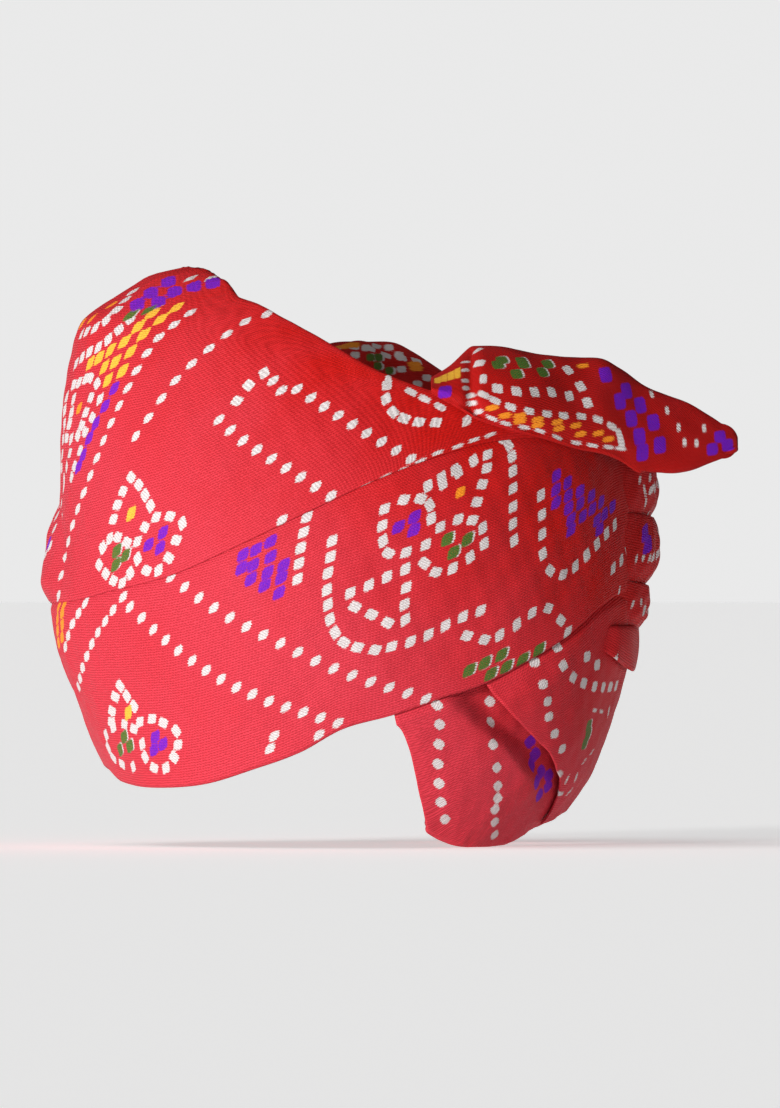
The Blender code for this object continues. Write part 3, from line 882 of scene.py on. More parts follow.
def tailOuter(u, v):
    ridge, hem, farEdge, ridgeSide, hemSide, farSide = (curve(tail, u, column) for column in range(1, 7))
    inKnob = np.clip((u - tailFlap["knob"]) / (tailFlap["past"] - tailFlap["knob"]), 0, 1)
    knobHalf = tailFlap["knobHalf"] * np.sqrt(1 - inKnob**2)
    middle, half = (ridge + hem) / 2, np.where(u > tailFlap["knob"], knobHalf, (ridge - hem) / 2)
    ridge, hem = middle + half, middle - half
    farPoint = (farSide * body["halfWidth"], farEdge * body["peak"])
    ridgePoint = (ridgeSide * body["halfWidth"], ridge * body["peak"])
    free = ease((u - tailFlap["leaves"]) / (tailFlap["free"] - tailFlap["leaves"]))
    along = tailFlap["root"] + tailFlap["length"] * u
    beside = bodySide(along, hem) + tailFlap["wall"] + tailFlap["seat"]
    hemPoint = (mix(beside, hemSide * body["halfWidth"], free), hem * body["peak"])
    tall = ridgePoint[1] - hemPoint[1]
    turned = ease((u - tailFlap["turns"]) / tailFlap["turnRun"])
    backIn = tailFlap["return"] * turned * ease((1 - u) / tailFlap["returnEnd"])
    stations = (0.00, 0.22, 0.46, 0.60, 0.78, 0.88, 1.00)
    sides = np.stack([
        farPoint[0], mix(farPoint[0], ridgePoint[0], 0.5), ridgePoint[0],
        mix(ridgePoint[0], hemPoint[0], 0.55), mix(ridgePoint[0], hemPoint[0], 0.98),
        hemPoint[0], hemPoint[0] - backIn,
    ])
    heights = np.stack([
        farPoint[1], mix(farPoint[1], ridgePoint[1], 0.66), ridgePoint[1],
        mix(ridgePoint[1], hemPoint[1], 0.28), mix(ridgePoint[1], hemPoint[1], 0.74),
        hemPoint[1], hemPoint[1] + mix(-0.05, 0.16, turned) * tall,
    ])
    return np.stack([follow(stations, sides, v), along, follow(stations, heights, v)], axis=-1)


def placeTail(u, share, roll, edge):
    small = 0.006
    before, after = np.maximum(share - 2 * small, 0), np.minimum(share + 2 * small, 1)
    along = tailOuter(np.minimum(u + small, 1), share) - tailOuter(np.maximum(u - small, 0), share)
    across = tailOuter(u, after) - tailOuter(u, before)
    normal = unit(np.cross(across, along))
    across = unit(across)
    wall = tailFlap["wall"] * endTaper(u, tailFlap["length"], tailFlap["end"])
    facing = ease((share - 0.40) / 0.12) * (1 - ease((share - 0.86) / 0.08))
    fromPinch = u - tailFlap["pinch"] - tailFlap["pinchSlant"] * (share - 0.6)
    pinch = -tailFlap["pinchDepth"] * np.exp(-((fromPinch / tailFlap["pinchWidth"]) ** 2))
    puff = tailFlap["puffHeight"] * np.exp(-(((u - tailFlap["puff"]) / tailFlap["puffWidth"]) ** 2))
    puff = puff * np.sin(math.pi * np.clip((share - 0.44) / 0.44, 0, 1))
    creases = 0.00016 * np.sin(u * 30 + share * 16) + 0.00012 * np.sin(u * 41 - share * 30)
    relief = (pinch + puff) * facing + creases * ease(u / 0.2) * ease((1 - u) / 0.1)
    shift = relief - walled(wall, roll)
    rounded = edge * np.sin(roll) * wall / 2
    return tailOuter(u, share) + normal * shift[:, None] + across * rounded[:, None]


tailPiece = layCloth("tailFold", placeTail, tailFlap)

# ---- the print, charted as the camera sees it: millimetres along and up from the origin

marks = {  # half sizes along and across the row, how square the corners are, the dye, and whether it turns
    "dash": {"half": (0.0021, 0.0021), "square": 6.0, "dye": None, "turns": True},
    "flat": {"half": (0.0023, 0.0014), "square": 4.0, "dye": None, "turns": True},
    "bar": {"half": (0.0023, 0.0008), "square": 3.5, "dye": None, "turns": True},
    "rung": {"half": (0.0010, 0.0018), "square": 3.5, "dye": None, "turns": False},
    "chip": {"half": (0.0013, 0.0018), "square": 3.5, "dye": None, "turns": False},
    "leaf": {"half": (0.0015, 0.0016), "square": 3.5, "dye": "green", "turns": False},
    "post": {"half": (0.0016, 0.0009), "square": 4.0, "dye": None, "turns": False},
    "dot": {"half": (0.0019, 0.0022), "square": 3.0, "dye": None, "turns": False},
    "yellow": {"half": (0.0026, 0.0025), "square": 5.0, "dye": "yellow", "turns": False},
    "yellowPost": {"half": (0.0027, 0.0012), "square": 5.0, "dye": "yellow", "turns": False, "asSeen": True},
    "block": {"half": (0.0023, 0.0028), "square": 4.5, "dye": "purple", "turns": False, "asSeen": True},
    "orange": {"half": (0.0021, 0.0021), "square": 4.0, "dye": "orange", "turns": False},
    "amber": {"half": (0.0011, 0.0026), "square": 4.0, "dye": "orange", "turns": False},
    "purple": {"half": (0.0024, 0.0026), "square": 4.0, "dye": "purple", "turns": False},
    "slab": {"half": (0.0033, 0.0029), "square": 4.5, "dye": "purple", "turns": False},
    "green": {"half": (0.0025, 0.0026), "square": 4.0, "dye": "green", "turns": False},
}
printReach = 0.0070  # how far round a mark the cloth is measured
seenReach = 0.0038  # and how deep, where a mark keeps its seen shape
sightReach = 0.0013  # the nearest vertex to the camera is sought this far round a place
slip = 0.0008  # how far the cream beside a green mark has slipped
rowBreak = 0.0088  # charted marks further apart than this belong to different rows
blank = -4.0  # far outside any mark


def alongStroke(points, count):
    # a smooth line through the charted points, as many places as there are marks, or the points alone
    points = np.array(points, float)
    if count == 0 or len(points) == 1:
        return points
    lengths = np.concatenate([[0], np.cumsum(np.linalg.norm(np.diff(points, axis=0), axis=1))])
    fine = np.linspace(0, lengths[-1], 80)
    return np.stack([follow(lengths, points[:, 0], fine), follow(lengths, points[:, 1], fine)], axis=1)


def spaced(line, count):
    lengths = np.concatenate([[0], np.cumsum(np.linalg.norm(np.diff(line, axis=0), axis=1))])
    at = np.linspace(0, lengths[-1], count)
    return np.stack([np.interp(at, lengths, line[:, k]) for k in range(line.shape[1])], axis=1)


class Surface:
    # what the print needs to know of a cloth: its points, its normals and what the camera sees of it

    def __init__(self, cloth, place=None, nearest=0.0, depth=0.0030, asSeen=False):
        mesh = cloth.data
        self.asSeen = asSeen  # marks keep the shape that the camera sees
        self.depth = depth  # how far off a mark's own plane the cloth may bend and still take it
        self.mesh = mesh
        self.place = place
        self.points = np.zeros(len(mesh.vertices) * 3)
        self.normals = np.zeros(len(mesh.vertices) * 3)
        mesh.vertices.foreach_get("co", self.points)
        mesh.vertex_normals.foreach_get("vector", self.normals)
        self.points, self.normals = self.points.reshape(-1, 3), self.normals.reshape(-1, 3)
        self.space = self.treeOf(self.points)
        near = (self.normals[:, 0] > 0.10) & (self.points[:, 0] > nearest)
        self.seenIndex = np.nonzero(near)[0]
        centre = np.array(camera["target"])
        seen = self.points[self.seenIndex]
        scale = camera["distance"] / (camera["distance"] - seen[:, :1])
        projected = centre[1:] + (seen[:, 1:] - centre[1:]) * scale
        self.seen = self.treeOf(np.hstack([projected, 0 * seen[:, :1]]))
        self.white = np.full(len(self.points), blank)
        self.dye = np.full(len(self.points), blank)
        self.tint = np.zeros((len(self.points), 4))
        self.tint[:] = (*dyes["purple"], 1.0)

    def treeOf(self, points):
        tree = kdtree.KDTree(len(points))
        for index, point in enumerate(points):
            tree.insert(point, index)
        tree.balance()
        return tree

    def under(self, place):
        # where the camera's ray through a charted place meets the cloth, and the cloth's normal there
        spot = (place[0], place[1], 0.0)
        around = [found[1] for found in self.seen.find_range(spot, sightReach)]
        around = around or [self.seen.find(spot)[1]]
        index = self.seenIndex[max(around, key=lambda found: self.points[self.seenIndex[found], 0])]
        normal = self.normals[index]
        eye = np.array(camera["target"]) + (camera["distance"], 0, 0)
        ray = np.array((0.0, place[0], place[1])) - eye
        reach = np.dot(self.points[index] - eye, normal) / np.dot(ray, normal)
        return eye + ray * reach, normal

    def at(self, share):
        # the cloth's outer face at its own two shares, and its normal there
        u, v = (np.array([value]) for value in share)
        point = self.place(u, v, 0 * u, 0 * u)[0]
        return point, self.normals[self.space.find(point)[1]]

    def mark(self, centre, normal, kind, lean, shear, mirrored, along, own):
        spec = marks[kind]
        flatWay = np.cross((0.0, 0.0, 1.0), normal)
        if np.linalg.norm(flatWay) < 0.25:
            flatWay = np.array((0.0, 1.0, 0.0)) - normal * normal[1]
        flatWay = unit(flatWay)
        upWay = np.cross(normal, flatWay)
        if spec["turns"] and along is not None:
            p, q = along @ flatWay, along @ upWay
            straight = q - shear * p
            pairs = ((p, q), (-straight, p - shear * straight))
        else:
            pairs = [(math.cos(math.radians(angle)), math.sin(math.radians(angle))) for angle in lean]
        sides = [unit(flatWay * p + upWay * q) for p, q in pairs]
        if mirrored:
            flip = np.array((-1.0, 1.0, 1.0))
            centre, normal, sides = centre * flip, normal * flip, [side * flip for side in sides]
        near = np.array([found[1] for found in self.space.find_range(centre, printReach)], int)
        if len(near) == 0:
            return
        near = near[np.abs((self.points[near] - centre) @ normal) < self.depth]
        offset = self.points[near] - centre
        if not own and (self.asSeen or spec.get("asSeen")):  # on cloth that turns away from the camera
            sides = [np.array((0.0, 0.0, 1.0)), np.array((0.0, 1.0, 0.0))]
            if spec["turns"]:
                sides.reverse()
            near = near[np.abs(offset[:, 0]) < seenReach]
            offset = self.points[near] - centre
        slant = float(np.dot(*sides))
        a, b = offset @ sides[0], offset @ sides[1]
        s, t = (a - slant * b) / (1 - slant**2), (b - slant * a) / (1 - slant**2)
        half, square = spec["half"], spec["square"]
        thickness = min(half) * math.sqrt(1 - slant**2) * 1000

        def inside(shift=0.0):
            out = (np.abs(s / half[0]) ** square + np.abs((t + shift) / half[1]) ** square) ** (1 / square)
            return (1 - out) * thickness

        depth = inside()
        if spec["dye"] is None:
            self.white[near] = np.maximum(self.white[near], depth)
            return
        if spec["dye"] == "green":  # the cream left where the tie slipped
            self.white[near] = np.maximum(self.white[near], inside(-slip))
        more = depth > self.dye[near]
        self.dye[near[more]] = depth[more]
        self.tint[near[more], :3] = dyes[spec["dye"]]

    def stroke(self, kind, count, points, lean, shear, bothSides, own):
        find = self.at if own else self.under
        line = alongStroke(np.array(points) if own else np.array(points) / 1000, count)
        found = [find(place) for place in line]
        centres = np.array([centre for centre, _ in found])
        if count and len(line) > 1:  # the marks are spread evenly over the cloth, not over the picture
            if own:
                places = spaced(np.hstack([centres, line]), count)[:, 3:]
            else:
                target = np.array(camera["target"])[1:]
                even = spaced(centres, count)
                scale = camera["distance"] / (camera["distance"] - even[:, :1])
                places = target + (even[:, 1:] - target) * scale
            found = [find(place) for place in places]
            centres = np.array([centre for centre, _ in found])
        for index, (centre, normal) in enumerate(found):
            way = np.zeros(3)
            for other in (index - 1, index + 1):
                if 0 <= other < len(centres):
                    step = (centres[other] - centre) * (other - index)
                    if count or np.linalg.norm(step) < rowBreak:
                        way = way + step
            way = unit(way) if np.linalg.norm(way) > 0 else None
            self.mark(centre, normal, kind, lean, shear, False, way, own)
            if bothSides:
                self.mark(centre, normal, kind, lean, shear, True, way, own)

    def store(self):
        for name, values in (("whitePrint", self.white), ("dyePrint", self.dye)):
            self.mesh.attributes.new(name, "FLOAT", "POINT").data.foreach_set("value", values)
        tint = self.mesh.attributes.new("dyeTint", "FLOAT_COLOR", "POINT")
        tint.data.foreach_set("color", self.tint.ravel())


def printCloth(cloth, seen=(), own=(), place=None, lean=(80, 22), shear=0.47, bothSides=False,
               nearest=0.0, depth=0.0030, asSeen=False):
    surface = Surface(cloth, place, nearest, depth, asSeen)
    for kind, count, points in seen:
        surface.stroke(kind, count, points, lean, shear, bothSides, False)
    for kind, count, points in own:
        surface.stroke(kind, count, points, lean, shear, False, True)
    surface.store()
    print("printed", cloth.name)
    return surface


upperPrint = [
    ("dot", 9, [(-51.5, 113.9), (-42.5, 106.1), (-26.5, 95.9), (-7.8, 84.2)]),
    ("dot", 1, [(-26.9, 74.9)]),
    ("dash", 3, [(-44.5, 121.3), (-40.2, 127.1), (-33.9, 132.2)]),
    ("dot", 2, [(-30.4, 129.3), (-27.1, 125.4)]),
    ("dot", 9, [(-21.1, 126), (-1.6, 113.5), (23.4, 98.7)]),
    ("dot", 18, [
        (-62.8, 155.6), (-76.8, 143.9), (-93.2, 113.9), (-101.4, 93.2), (-108, 74.5), (-112.3, 56.6),
        (-114.1, 45.2),
    ]),
    ("dot", 9, [(-32.8, 155.2), (-40.2, 152.9), (-54.6, 142.3), (-69, 128.7), (-83.9, 107.6)]),
    ("dot", 4, [(-113.5, 81.5), (-115, 76), (-116.2, 70.2), (-117.4, 64.7)]),
    ("orange", 4, [(-104.9, 151.5), (-101, 153.9), (-97.2, 156), (-93.3, 158.7)]),
    ("dash", 7, [(-105.5, 147.5), (-98.8, 150.5), (-92.6, 155.4), (-89.5, 159.5), (-85.2, 164.1)]),
    ("dash", 7, [(-107.3, 135.7), (-104, 139), (-97.9, 142.7), (-90.9, 148.5), (-86.1, 153)]),
    ("green", 0, [(-86.1, 154.8), (-78.9, 156.9)]),
    ("block", 0, [
        (-83.4, 159), (-78.1, 163.5), (-75.1, 159.9), (-71.2, 167.9), (-68.8, 163.8), (-61.3, 166.2),
        (-53.9, 167.3),
    ]),
    ("purple", 0, [(-117.8, 81.1), (-118.4, 76), (-118.6, 71), (-118.2, 65.9)]),
    ("dash", 0, [(-62.5, 169.4), (-54.5, 169.4)]),
    ("yellow", 0, [
        (-68.2, 157.8), (-77.5, 155.4), (-74.2, 153.3), (-83.1, 150.3), (-81, 147.3), (-88.5, 144.4),
        (-86, 140.5), (-93.9, 141.1), (-92, 136.6), (-89.2, 133), (-98, 138.1), (-96.4, 134.5),
        (-94.8, 129.4), (-101.8, 136),
    ]),
    ("purple", 0, [(-92.4, 126.2), (-96, 119.3), (-99.5, 112.7), (-102.2, 106.8)]),
    ("purple", 0, [(-104.6, 100.1), (-106.4, 95.7)]),
    ("dash", 0, [
        (-108.3, 127.6), (-106.2, 128.5), (-103.7, 129.9), (-101.5, 130.2), (-99.2, 128.1),
        (-97.9, 122), (-100.9, 114.8), (-103.7, 109.1), (-105.7, 102),
    ]),
    ("dash", 0, [(-107.9, 96), (-109.4, 91.5), (-111.8, 87.6)]),
    ("dash", 0, [(-101.5, 122.6), (-103.4, 116.9), (-105.2, 111.8), (-106.6, 107.7)]),
    ("orange", 0, [(-106.1, 118.4)]),
    ("dash", 0, [
        (-108.5, 122), (-109.1, 116.9), (-110.1, 112.1), (-110.9, 106.8), (-111.2, 122.9),
        (-111.7, 117.5), (-111.9, 112.1),
    ]),
    ("dash", 0, [
        (-109.1, 106.4), (-110, 101), (-111.2, 95.7), (-112.1, 90.9), (-112.7, 106.4), (-113, 100.4),
        (-113.1, 95.1),
    ]),
    ("dash", 0, [
        (-85.8, 91.5), (-82.8, 88.5), (-80.4, 84.6), (-78.2, 80.4), (-89, 86.1), (-91.2, 80.7),
        (-92.6, 75.1),
    ]),
    ("yellow", 0, [(-85.8, 77.4)]),
    ("dash", 0, [
        (-76, 76), (-70.6, 76.3), (-65.8, 73.6), (-68.2, 67), (-71.1, 60.1), (-75.1, 55.2),
        (-79.8, 55.2), (-83.2, 59.7), (-83.4, 66.4), (-80.4, 72.1),
    ]),
    ("purple", 0, [(-73.3, 70), (-78.9, 65.2), (-74.5, 64)]),
    ("dash", 0, [
        (-96.9, 64), (-94.2, 67.6), (-91, 68.2), (-87.4, 66.1), (-98.3, 57.4), (-95.7, 53.9),
        (-92.7, 51.2), (-89.2, 50.4), (-86.1, 54.2),
    ]),
    ("green", 0, [(-91.4, 62.8), (-88, 61), (-91.8, 57.4)]),
    ("bar", 0, [
        (5.9, 88.1), (13.5, 91.7), (20.3, 94.4), (27.1, 97.9), (33.9, 101.2), (41.7, 103.7),
        (48, 106.1), (54.2, 108),
    ]),
    ("flat", 0, [(14.4, 129.5)]),
    ("dash", 0, [(14, 127.5), (13.7, 122.1), (16.4, 117), (20.7, 114.5), (26.5, 113.1), (33.1, 112.9)]),
    ("flat", 0, [(23.4, 124.8), (28.7, 122.1), (34.7, 119)]),
    ("dash", 0, [(45.2, 113.7)]),
]
lowerPrint = [
    ("dot", 16, [(-70.2, 52.6), (-53, 40.2), (-31.2, 28.5), (-5.5, 16.4), (29.2, 5.1)]),
    ("dot", 1, [(-88.9, 44.9)]),
    ("dot", 15, [(-86.2, 41), (-71, 26.9), (-51.5, 13.3), (-31.2, 3.9), (-5.1, -4.3)]),
    ("dot", 8, [(-92.8, 39.8), (-99.5, 29.6), (-104.9, 16.8), (-106.5, 9.8)]),
    ("dot", 5, [(-103.7, 42.5), (-109.2, 33.1), (-111.5, 25.4)]),
    ("orange", 0, [
        (-114.3, 41), (-111.9, 42.1), (-114.7, 36.3), (-112.7, 38.6), (-114.7, 31.6), (-112.7, 33.9),
        (-114.3, 26.9), (-112.7, 29.2),
    ]),
    ("purple", 0, [
        (-31.4, 66.4), (-37, 63.4), (-31.4, 60.4), (-42.1, 61.3), (-38.2, 57.2), (-32.5, 54.5),
        (-26.3, 57.2), (-42.7, 56), (-39.1, 51.8), (-33.7, 49.4), (-27.2, 52.4), (-28.1, 46.4),
    ]),
    ("dash", 5, [(-17.3, 76), (-18.5, 70.3), (-19.7, 63.4), (-20.9, 51.8)]),
    ("dash", 0, [
        (-7.4, 66.7), (-8, 60.5), (-9, 54.2), (-9.4, 47.6), (-9, 41.7), (-8.2, 36.1), (-6.2, 31),
        (-2.8, 27.1), (2.5, 25.2), (9.4, 24.2),
    ]),
    ("dash", 6, [(15.8, 25.5), (23, 27.3), (29.9, 30), (36.4, 33.5), (43, 36.8), (50.5, 39.5)]),
    ("dash", 0, [
        (20.6, 82.8), (27.1, 83.1), (30.7, 80.7), (31.3, 75.4), (29.2, 65.2), (21.5, 62.2),
        (14.6, 61.9), (12.5, 66.7), (12.2, 72.7), (13.1, 79.2),
    ]),
    ("purple", 0, [(24.8, 76), (18.5, 72.1), (24.5, 70.9)]),
    ("dash", 0, [
        (34.9, 72.1), (41.8, 75.1), (47.4, 74.8), (28.6, 58), (33.1, 54.5), (39.7, 56), (46.5, 60.4),
    ]),
    ("green", 0, [(37.6, 67.3), (45.4, 67.3), (40, 62.2)]),
    ("dash", 0, [(51.4, 71.8), (52, 65.5)]),
    ("dash", 3, [(30, 88.1), (35.1, 91.3), (40.6, 94.4)]),
    ("dash", 0, [(53.3, 100.4), (53, 95.1), (51.2, 88.8), (49.1, 81.9)]),
    ("orange", 0, [(42.7, 85.7)]),
    ("dash", 0, [(47.8, 98), (41.8, 93.5), (35.8, 89)]),
    ("dash", 0, [
        (58.5, 106.9), (61.5, 104.1), (62.8, 99.5), (63.2, 94), (63.2, 87.2), (63.2, 80), (63.2, 73.3),
        (63.6, 66.8),
    ]),
    ("dash", 4, [(21.2, 55.7), (13.4, 52.4), (6.9, 49.4), (-0.3, 46.4)]),
    ("dash", 0, [(1.5, 41), (8, 38), (14.3, 34.8)]),
    ("dash", 0, [(21.5, 48.5), (20.9, 41.9), (21.2, 36)]),
    ("dash", 11, [
        (74.1, 84.6), (74.7, 72.1), (74.4, 65.2), (75.9, 58.3), (80.1, 53), (86.2, 55.7), (95.5, 64.9),
        (103, 73),
    ]),
    ("purple", 0, [
        (80.1, 92.1), (80.1, 86.7), (80.1, 81.6), (84.6, 89.4), (84.8, 84.3), (84.9, 79.5),
        (85.8, 75.1), (85.8, 70.9), (89.4, 86.1), (89.4, 81.3), (90.3, 76.3), (93.8, 84.3),
        (94.1, 79.2), (95.9, 74.8), (96.8, 71.2), (97.7, 81.9), (98.9, 77.1), (101.9, 80.1),
    ]),
    ("dash", 5, [(102.4, 56), (105.8, 59.5), (108, 64.3), (109.4, 69.4), (110.6, 74.8)]),
    ("bar", 0, [(108.5, 85.5), (104.6, 46.7), (104, 41.3), (108.8, 41.3), (111.8, 42.5)]),
    ("dash", 0, [(45.2, 29.7), (52.1, 28.2)]),
    ("dash", 5, [(58, 30), (64.1, 33.6), (70, 38.3), (77.1, 40.4), (81.9, 35.7)]),
    ("dash", 0, [(84.6, 31.2)]),
    ("green", 0, [
        (46.1, 16.2), (52.1, 19), (58.7, 22.2), (54.5, 14.8), (60.6, 17.6), (67, 20.4), (73.3, 24.2),
    ]),
    ("dash", 0, [(-90.1, 10.1), (-87.4, 6.2), (-84.6, 2.3), (-92, 5.9), (-93.2, 0.4), (-93.6, -3.9)]),
    ("yellow", 0, [(-87, -0.4)]),
    ("dash", 0, [
        (-82.3, -3.9), (-77.6, -2.7), (-73.3, -4.3), (-68.2, -7.4), (-67.5, -12.9), (-69, -17.6),
        (-72.2, -21.8), (-76.8, -21.8), (-80.3, -17.6), (-81.5, -12.5),
    ]),
    ("purple", 0, [(-76.4, -9.8), (-73.3, -12.5), (-76.8, -14.8)]),
    ("dash", 0, [
        (-95.5, -9), (-92.8, -5.9), (-88.5, -4.7), (-84.6, -6.6), (-94.8, -14), (-92.8, -17.9),
        (-89.3, -20.3), (-85, -21.4),
    ]),
    ("green", 0, [(-88.5, -9.8), (-86.2, -13.3), (-90.1, -14.8)]),
    ("dot", 0, [(-30, -9.4), (-31.6, -14.4), (-12.5, -9)]),
]
napePrint = [
    ("dot", 7, [
        (33.6, 2.7), (34.6, -5.3), (34.3, -13), (33.9, -20), (34.3, -27.6), (35, -34.9), (36.7, -41.9),
    ]),
    ("dot", 0, [
        (54.1, 4.1), (54.5, -4), (55.5, -12.7), (56.9, -21.7), (57.3, -28.9), (57.1, -33.6),
        (56.2, -38.1), (56.2, -43), (55.9, -47.8),
    ]),
    ("purple", 0, [
        (69.8, -11.6), (71.9, -16.5), (70.5, -20.7), (74, -23.5), (77.1, -24.8), (72.6, -27.6),
        (76.8, -29), (73.3, -32.5),
    ]),
]
foldPrint = [
    ("dot", 0, [(71.6, 19.4), (75, 10.8), (76.8, 4.1), (77.3, -1.9), (79.4, -8.5), (82.5, -14.4)]),
    ("dash", 8, [(80.3, 25.4), (81.2, 21.1), (84.3, 16.1), (88.3, 12.4), (96.6, 9.6), (103.6, 10.1)]),
    ("dash", 0, [(92.1, 21.5), (95.9, 18.3)]),
    ("bar", 0, [(95.2, 0.6), (97.7, 0.2), (100.5, 0.2)]),
    ("green", 0, [(92.8, -5.3), (92.4, -8.8), (91.1, -12.3)]),
    ("bar", 0, [
        (81.3, -24.5), (84.1, -26.2), (91.1, -19.3), (94.2, -15.8), (78.9, -31.1), (81.3, -32.5),
        (85.1, -31.1), (87.9, -25.5), (74.3, -36), (77.1, -37),
    ]),
]
flapPrint = [
    ("flat", 0, [(49.3, 141.2)]),
    ("dash", 0, [(50, 136.2)]),
    ("flat", 0, [(51.6, 130)]),
    ("dash", 0, [(57.1, 126.2), (64.6, 125.1), (71.6, 124.8), (78.3, 124.8), (85.1, 123.2)]),
    ("dash", 0, [(84.6, 133.4), (89.5, 127), (92.2, 120.6)]),
    ("flat", 0, [
        (51.8, 123.8), (56.2, 121.5), (62.3, 119), (69.5, 117.3), (76.5, 116.3), (83, 115.6),
        (89.8, 115.3), (96.3, 114.1), (101.7, 111.4),
    ]),
    ("flat", 0, [(104.7, 108.2), (105.4, 105.2)]),
    ("rung", 0, [
        (44.6, 136.6), (44.5, 133.4), (44.6, 129.3), (44.9, 126.4), (46.1, 123.3), (47.4, 120.4),
        (49.8, 117.1),
    ]),
    ("bar", 0, [
        (55, 114.5), (60.4, 112.5), (67.5, 111), (73.7, 109.7), (80.5, 107.2), (87.8, 105),
        (94.2, 104), (100.4, 103.3), (105.2, 102.7),
    ]),
    ("green", 0, [
        (57.3, 135.5), (58.8, 137.3), (64.6, 131.9), (66.6, 137), (67.2, 135.7), (74.7, 132.6),
        (76.6, 135.7),
    ]),
    ("amber", 0, [
        (55.1, 118.6), (60.1, 115.6), (65.9, 115.5), (72.9, 114.1), (80.5, 113.1), (87.7, 111.7),
    ]),
    ("amber", 0, [
        (65.9, 113.4), (72.9, 111.9), (81.1, 110.5), (89.6, 108.4), (96.5, 108.7), (100.4, 106.4),
    ]),
    ("amber", 0, [(90.3, 135)]),
    ("yellowPost", 0, [(33.7, 129.6), (36.3, 130.5), (38.9, 131.4), (41.5, 132.4)]),
    ("purple", 0, [(36.7, 124.9)]),
    ("slab", 0, [
        (99.4, 131.6), (107.5, 125.3), (104.9, 121.2), (112.7, 119.6), (109.3, 114.4), (117.9, 112.9),
        (112.4, 107.4), (120.5, 104.1), (113.7, 101.2),
    ]),
    ("post", 0, [
        (117.3, 124), (123.3, 117.6), (127.8, 111), (137.7, 110.6), (130.1, 105.2), (134.8, 104.9),
    ]),
    ("purple", 0, [(143.9, 107.4), (141, 102.5), (146.8, 104.1)]),
]
crownPrint = [
    ("amber", 0, [(-6.4, 142.1), (-3.1, 142.7), (0.8, 143.1)]),
    ("chip", 0, [
        (1.6, 139.2), (5.9, 142), (10, 143), (14.7, 142.1), (18.7, 139.2), (19.7, 133.6),
        (29.6, 130.3), (26, 128),
    ]),
    ("leaf", 0, [(7.6, 138.3), (10.8, 138.3), (15, 133.1), (10.5, 134.9)]),
    ("amber", 0, [(24.8, 135.7), (25.5, 134)]),
]
gatherPrint1 = [
    ("bar", 0, [(114.3, 86.6), (115.2, 81.9)]),
    ("post", 0, [(112.7, 90.5), (116.6, 91.3), (115.8, 76.8)]),
]
gatherPrint2 = [
    ("slab", 0, [(115, 69.8), (115.8, 65.1)]),
    ("post", 0, [(111.4, 59.7), (113.9, 60.1), (116.6, 60.1)]),
]
gatherPrint3 = [
    ("post", 0, [(104.1, 41.7), (106.9, 41), (110, 42.1), (113.1, 42.9), (113.9, 34.7)]),
]
panelPrint = [
    ("flat", 0, [(102.6, 19.9)]),
]

# the sides that the photograph doesn't show, charted in shares along and across each cloth
farOwn = (
    ("dot", 26, ((0.10, 0.22), (0.35, 0.34), (0.62, 0.24), (0.86, 0.40))),
    ("dot", 22, ((0.12, 0.74), (0.40, 0.62), (0.66, 0.72), (0.84, 0.66))),
    ("purple", 5, ((0.22, 0.50), (0.33, 0.56))),
    ("purple", 5, ((0.52, 0.46), (0.63, 0.50))),
    ("yellow", 3, ((0.42, 0.50), (0.46, 0.50))),
)
crownOwn = (
    ("dot", 21, ((0.06, 0.72), (0.16, 0.62), (0.28, 0.70), (0.40, 0.62))),
    ("dash", 10, ((0.10, 0.44), (0.25, 0.38), (0.40, 0.44))),
    ("dash", 8, ((0.62, 0.36), (0.75, 0.32), (0.88, 0.36))),
    ("green", 3, ((0.14, 0.54), (0.20, 0.52))),
    ("purple", 5, ((0.30, 0.54), (0.37, 0.52))),
)
gatherOwn = (
    ("dot", 12, ((0.22, 0.42), (0.50, 0.62), (0.80, 0.40))),
    ("post", 7, ((0.30, 0.80), (0.62, 0.84))),
    ("purple", 4, ((0.40, 0.40), (0.50, 0.34))),
)
foldOwn = (
    ("dot", 9, ((0.60, 0.28), (0.64, 0.60), (0.70, 0.92))),
    ("dot", 8, ((0.86, 0.30), (0.84, 0.60), (0.86, 0.90))),
    ("dash", 6, ((0.68, 0.40), (0.76, 0.50), (0.80, 0.38))),
    ("purple", 4, ((0.72, 0.62), (0.78, 0.70))),
    ("purple", 3, ((0.71, 0.72), (0.76, 0.78))),
)
tailOwn = (
    ("dash", 7, ((0.30, 0.10), (0.75, 0.14))),
    ("dash", 7, ((0.30, 0.24), (0.75, 0.28))),
)

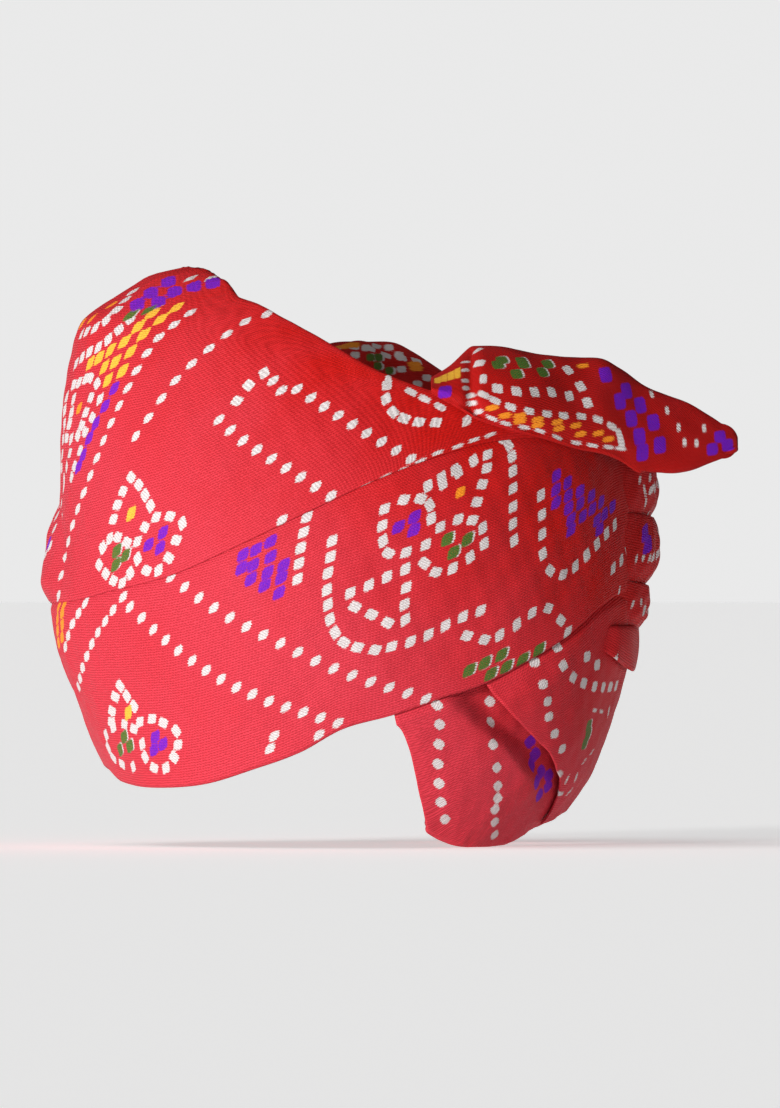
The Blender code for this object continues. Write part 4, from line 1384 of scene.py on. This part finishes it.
printCloth(upper, upperPrint, bothSides=True)
printCloth(lower, lowerPrint, bothSides=True)
printCloth(far, upperPrint, farOwn, placeFar)
printCloth(nape, napePrint, lean=(48, -42), bothSides=True)
printCloth(fold, foldPrint, foldOwn, placeFold, lean=(95, 10), shear=0.0)
printCloth(tailPiece, flapPrint, tailOwn, placeTail, lean=(86, 8), shear=0.0, depth=0.0050)
printCloth(crownPiece, crownPrint, crownOwn, placeCrown, lean=(80, 5), shear=0.0,
           nearest=-0.05, depth=0.0060, asSeen=True)
printCloth(panel, panelPrint, depth=0.0050)
for gather, place, gatherPrint in zip(pleatPieces, pleatPlaces, (gatherPrint1, gatherPrint2, gatherPrint3)):
    printCloth(gather, gatherPrint, gatherOwn, place, depth=0.0050)

# ---- what each piece stands for

layers = (  # piece, solid, slot, flat width and length, flat area, how it is held, what it rests on
    (upper, "upper_wrap", "printed_cotton", (0.125, 0.66), 0.0420, "folded", ("lower_wrap",)),
    (lower, "lower_wrap", "printed_cotton", (0.125, 0.68), 0.0595, "folded", ()),
    (nape, "nape_wrap", "printed_cotton", (0.085, 0.36), 0.0250, "folded", ("lower_wrap",)),
    (fold, "nape_fold", "printed_cotton", (0.085, 0.20), 0.0143, "folded", ("nape_wrap",)),
    (far, "far_wrap", "printed_cotton", (0.055, 0.24), 0.0112, "folded", ("upper_wrap",)),
    (pleatPieces[0], "back_pleat_1", "printed_cotton", (0.032, 0.12), 0.0036, "gathered", ("upper_wrap",)),
    (pleatPieces[1], "back_pleat_2", "printed_cotton", (0.032, 0.12), 0.0036, "gathered", ("upper_wrap",)),
    (pleatPieces[2], "back_pleat_3", "printed_cotton", (0.022, 0.11), 0.0021, "gathered", ("lower_wrap",)),
    (panel, "back_panel", "printed_cotton", (0.020, 0.080), 0.0012, "folded", ("lower_wrap",)),
    (crownPiece, "crown_cloth", "crown_cotton", (0.18, 0.22), 0.0291, "stretched", ("upper_wrap",)),
    (tailPiece, "tail_flap", "printed_cotton", (0.080, 0.12), 0.0092, "folded", ("upper_wrap",)),
)
for piece, node, slotName, flatSize, flatArea, held, restsOn in layers:
    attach(piece, "root")
    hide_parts(node)

print("pieces in place")
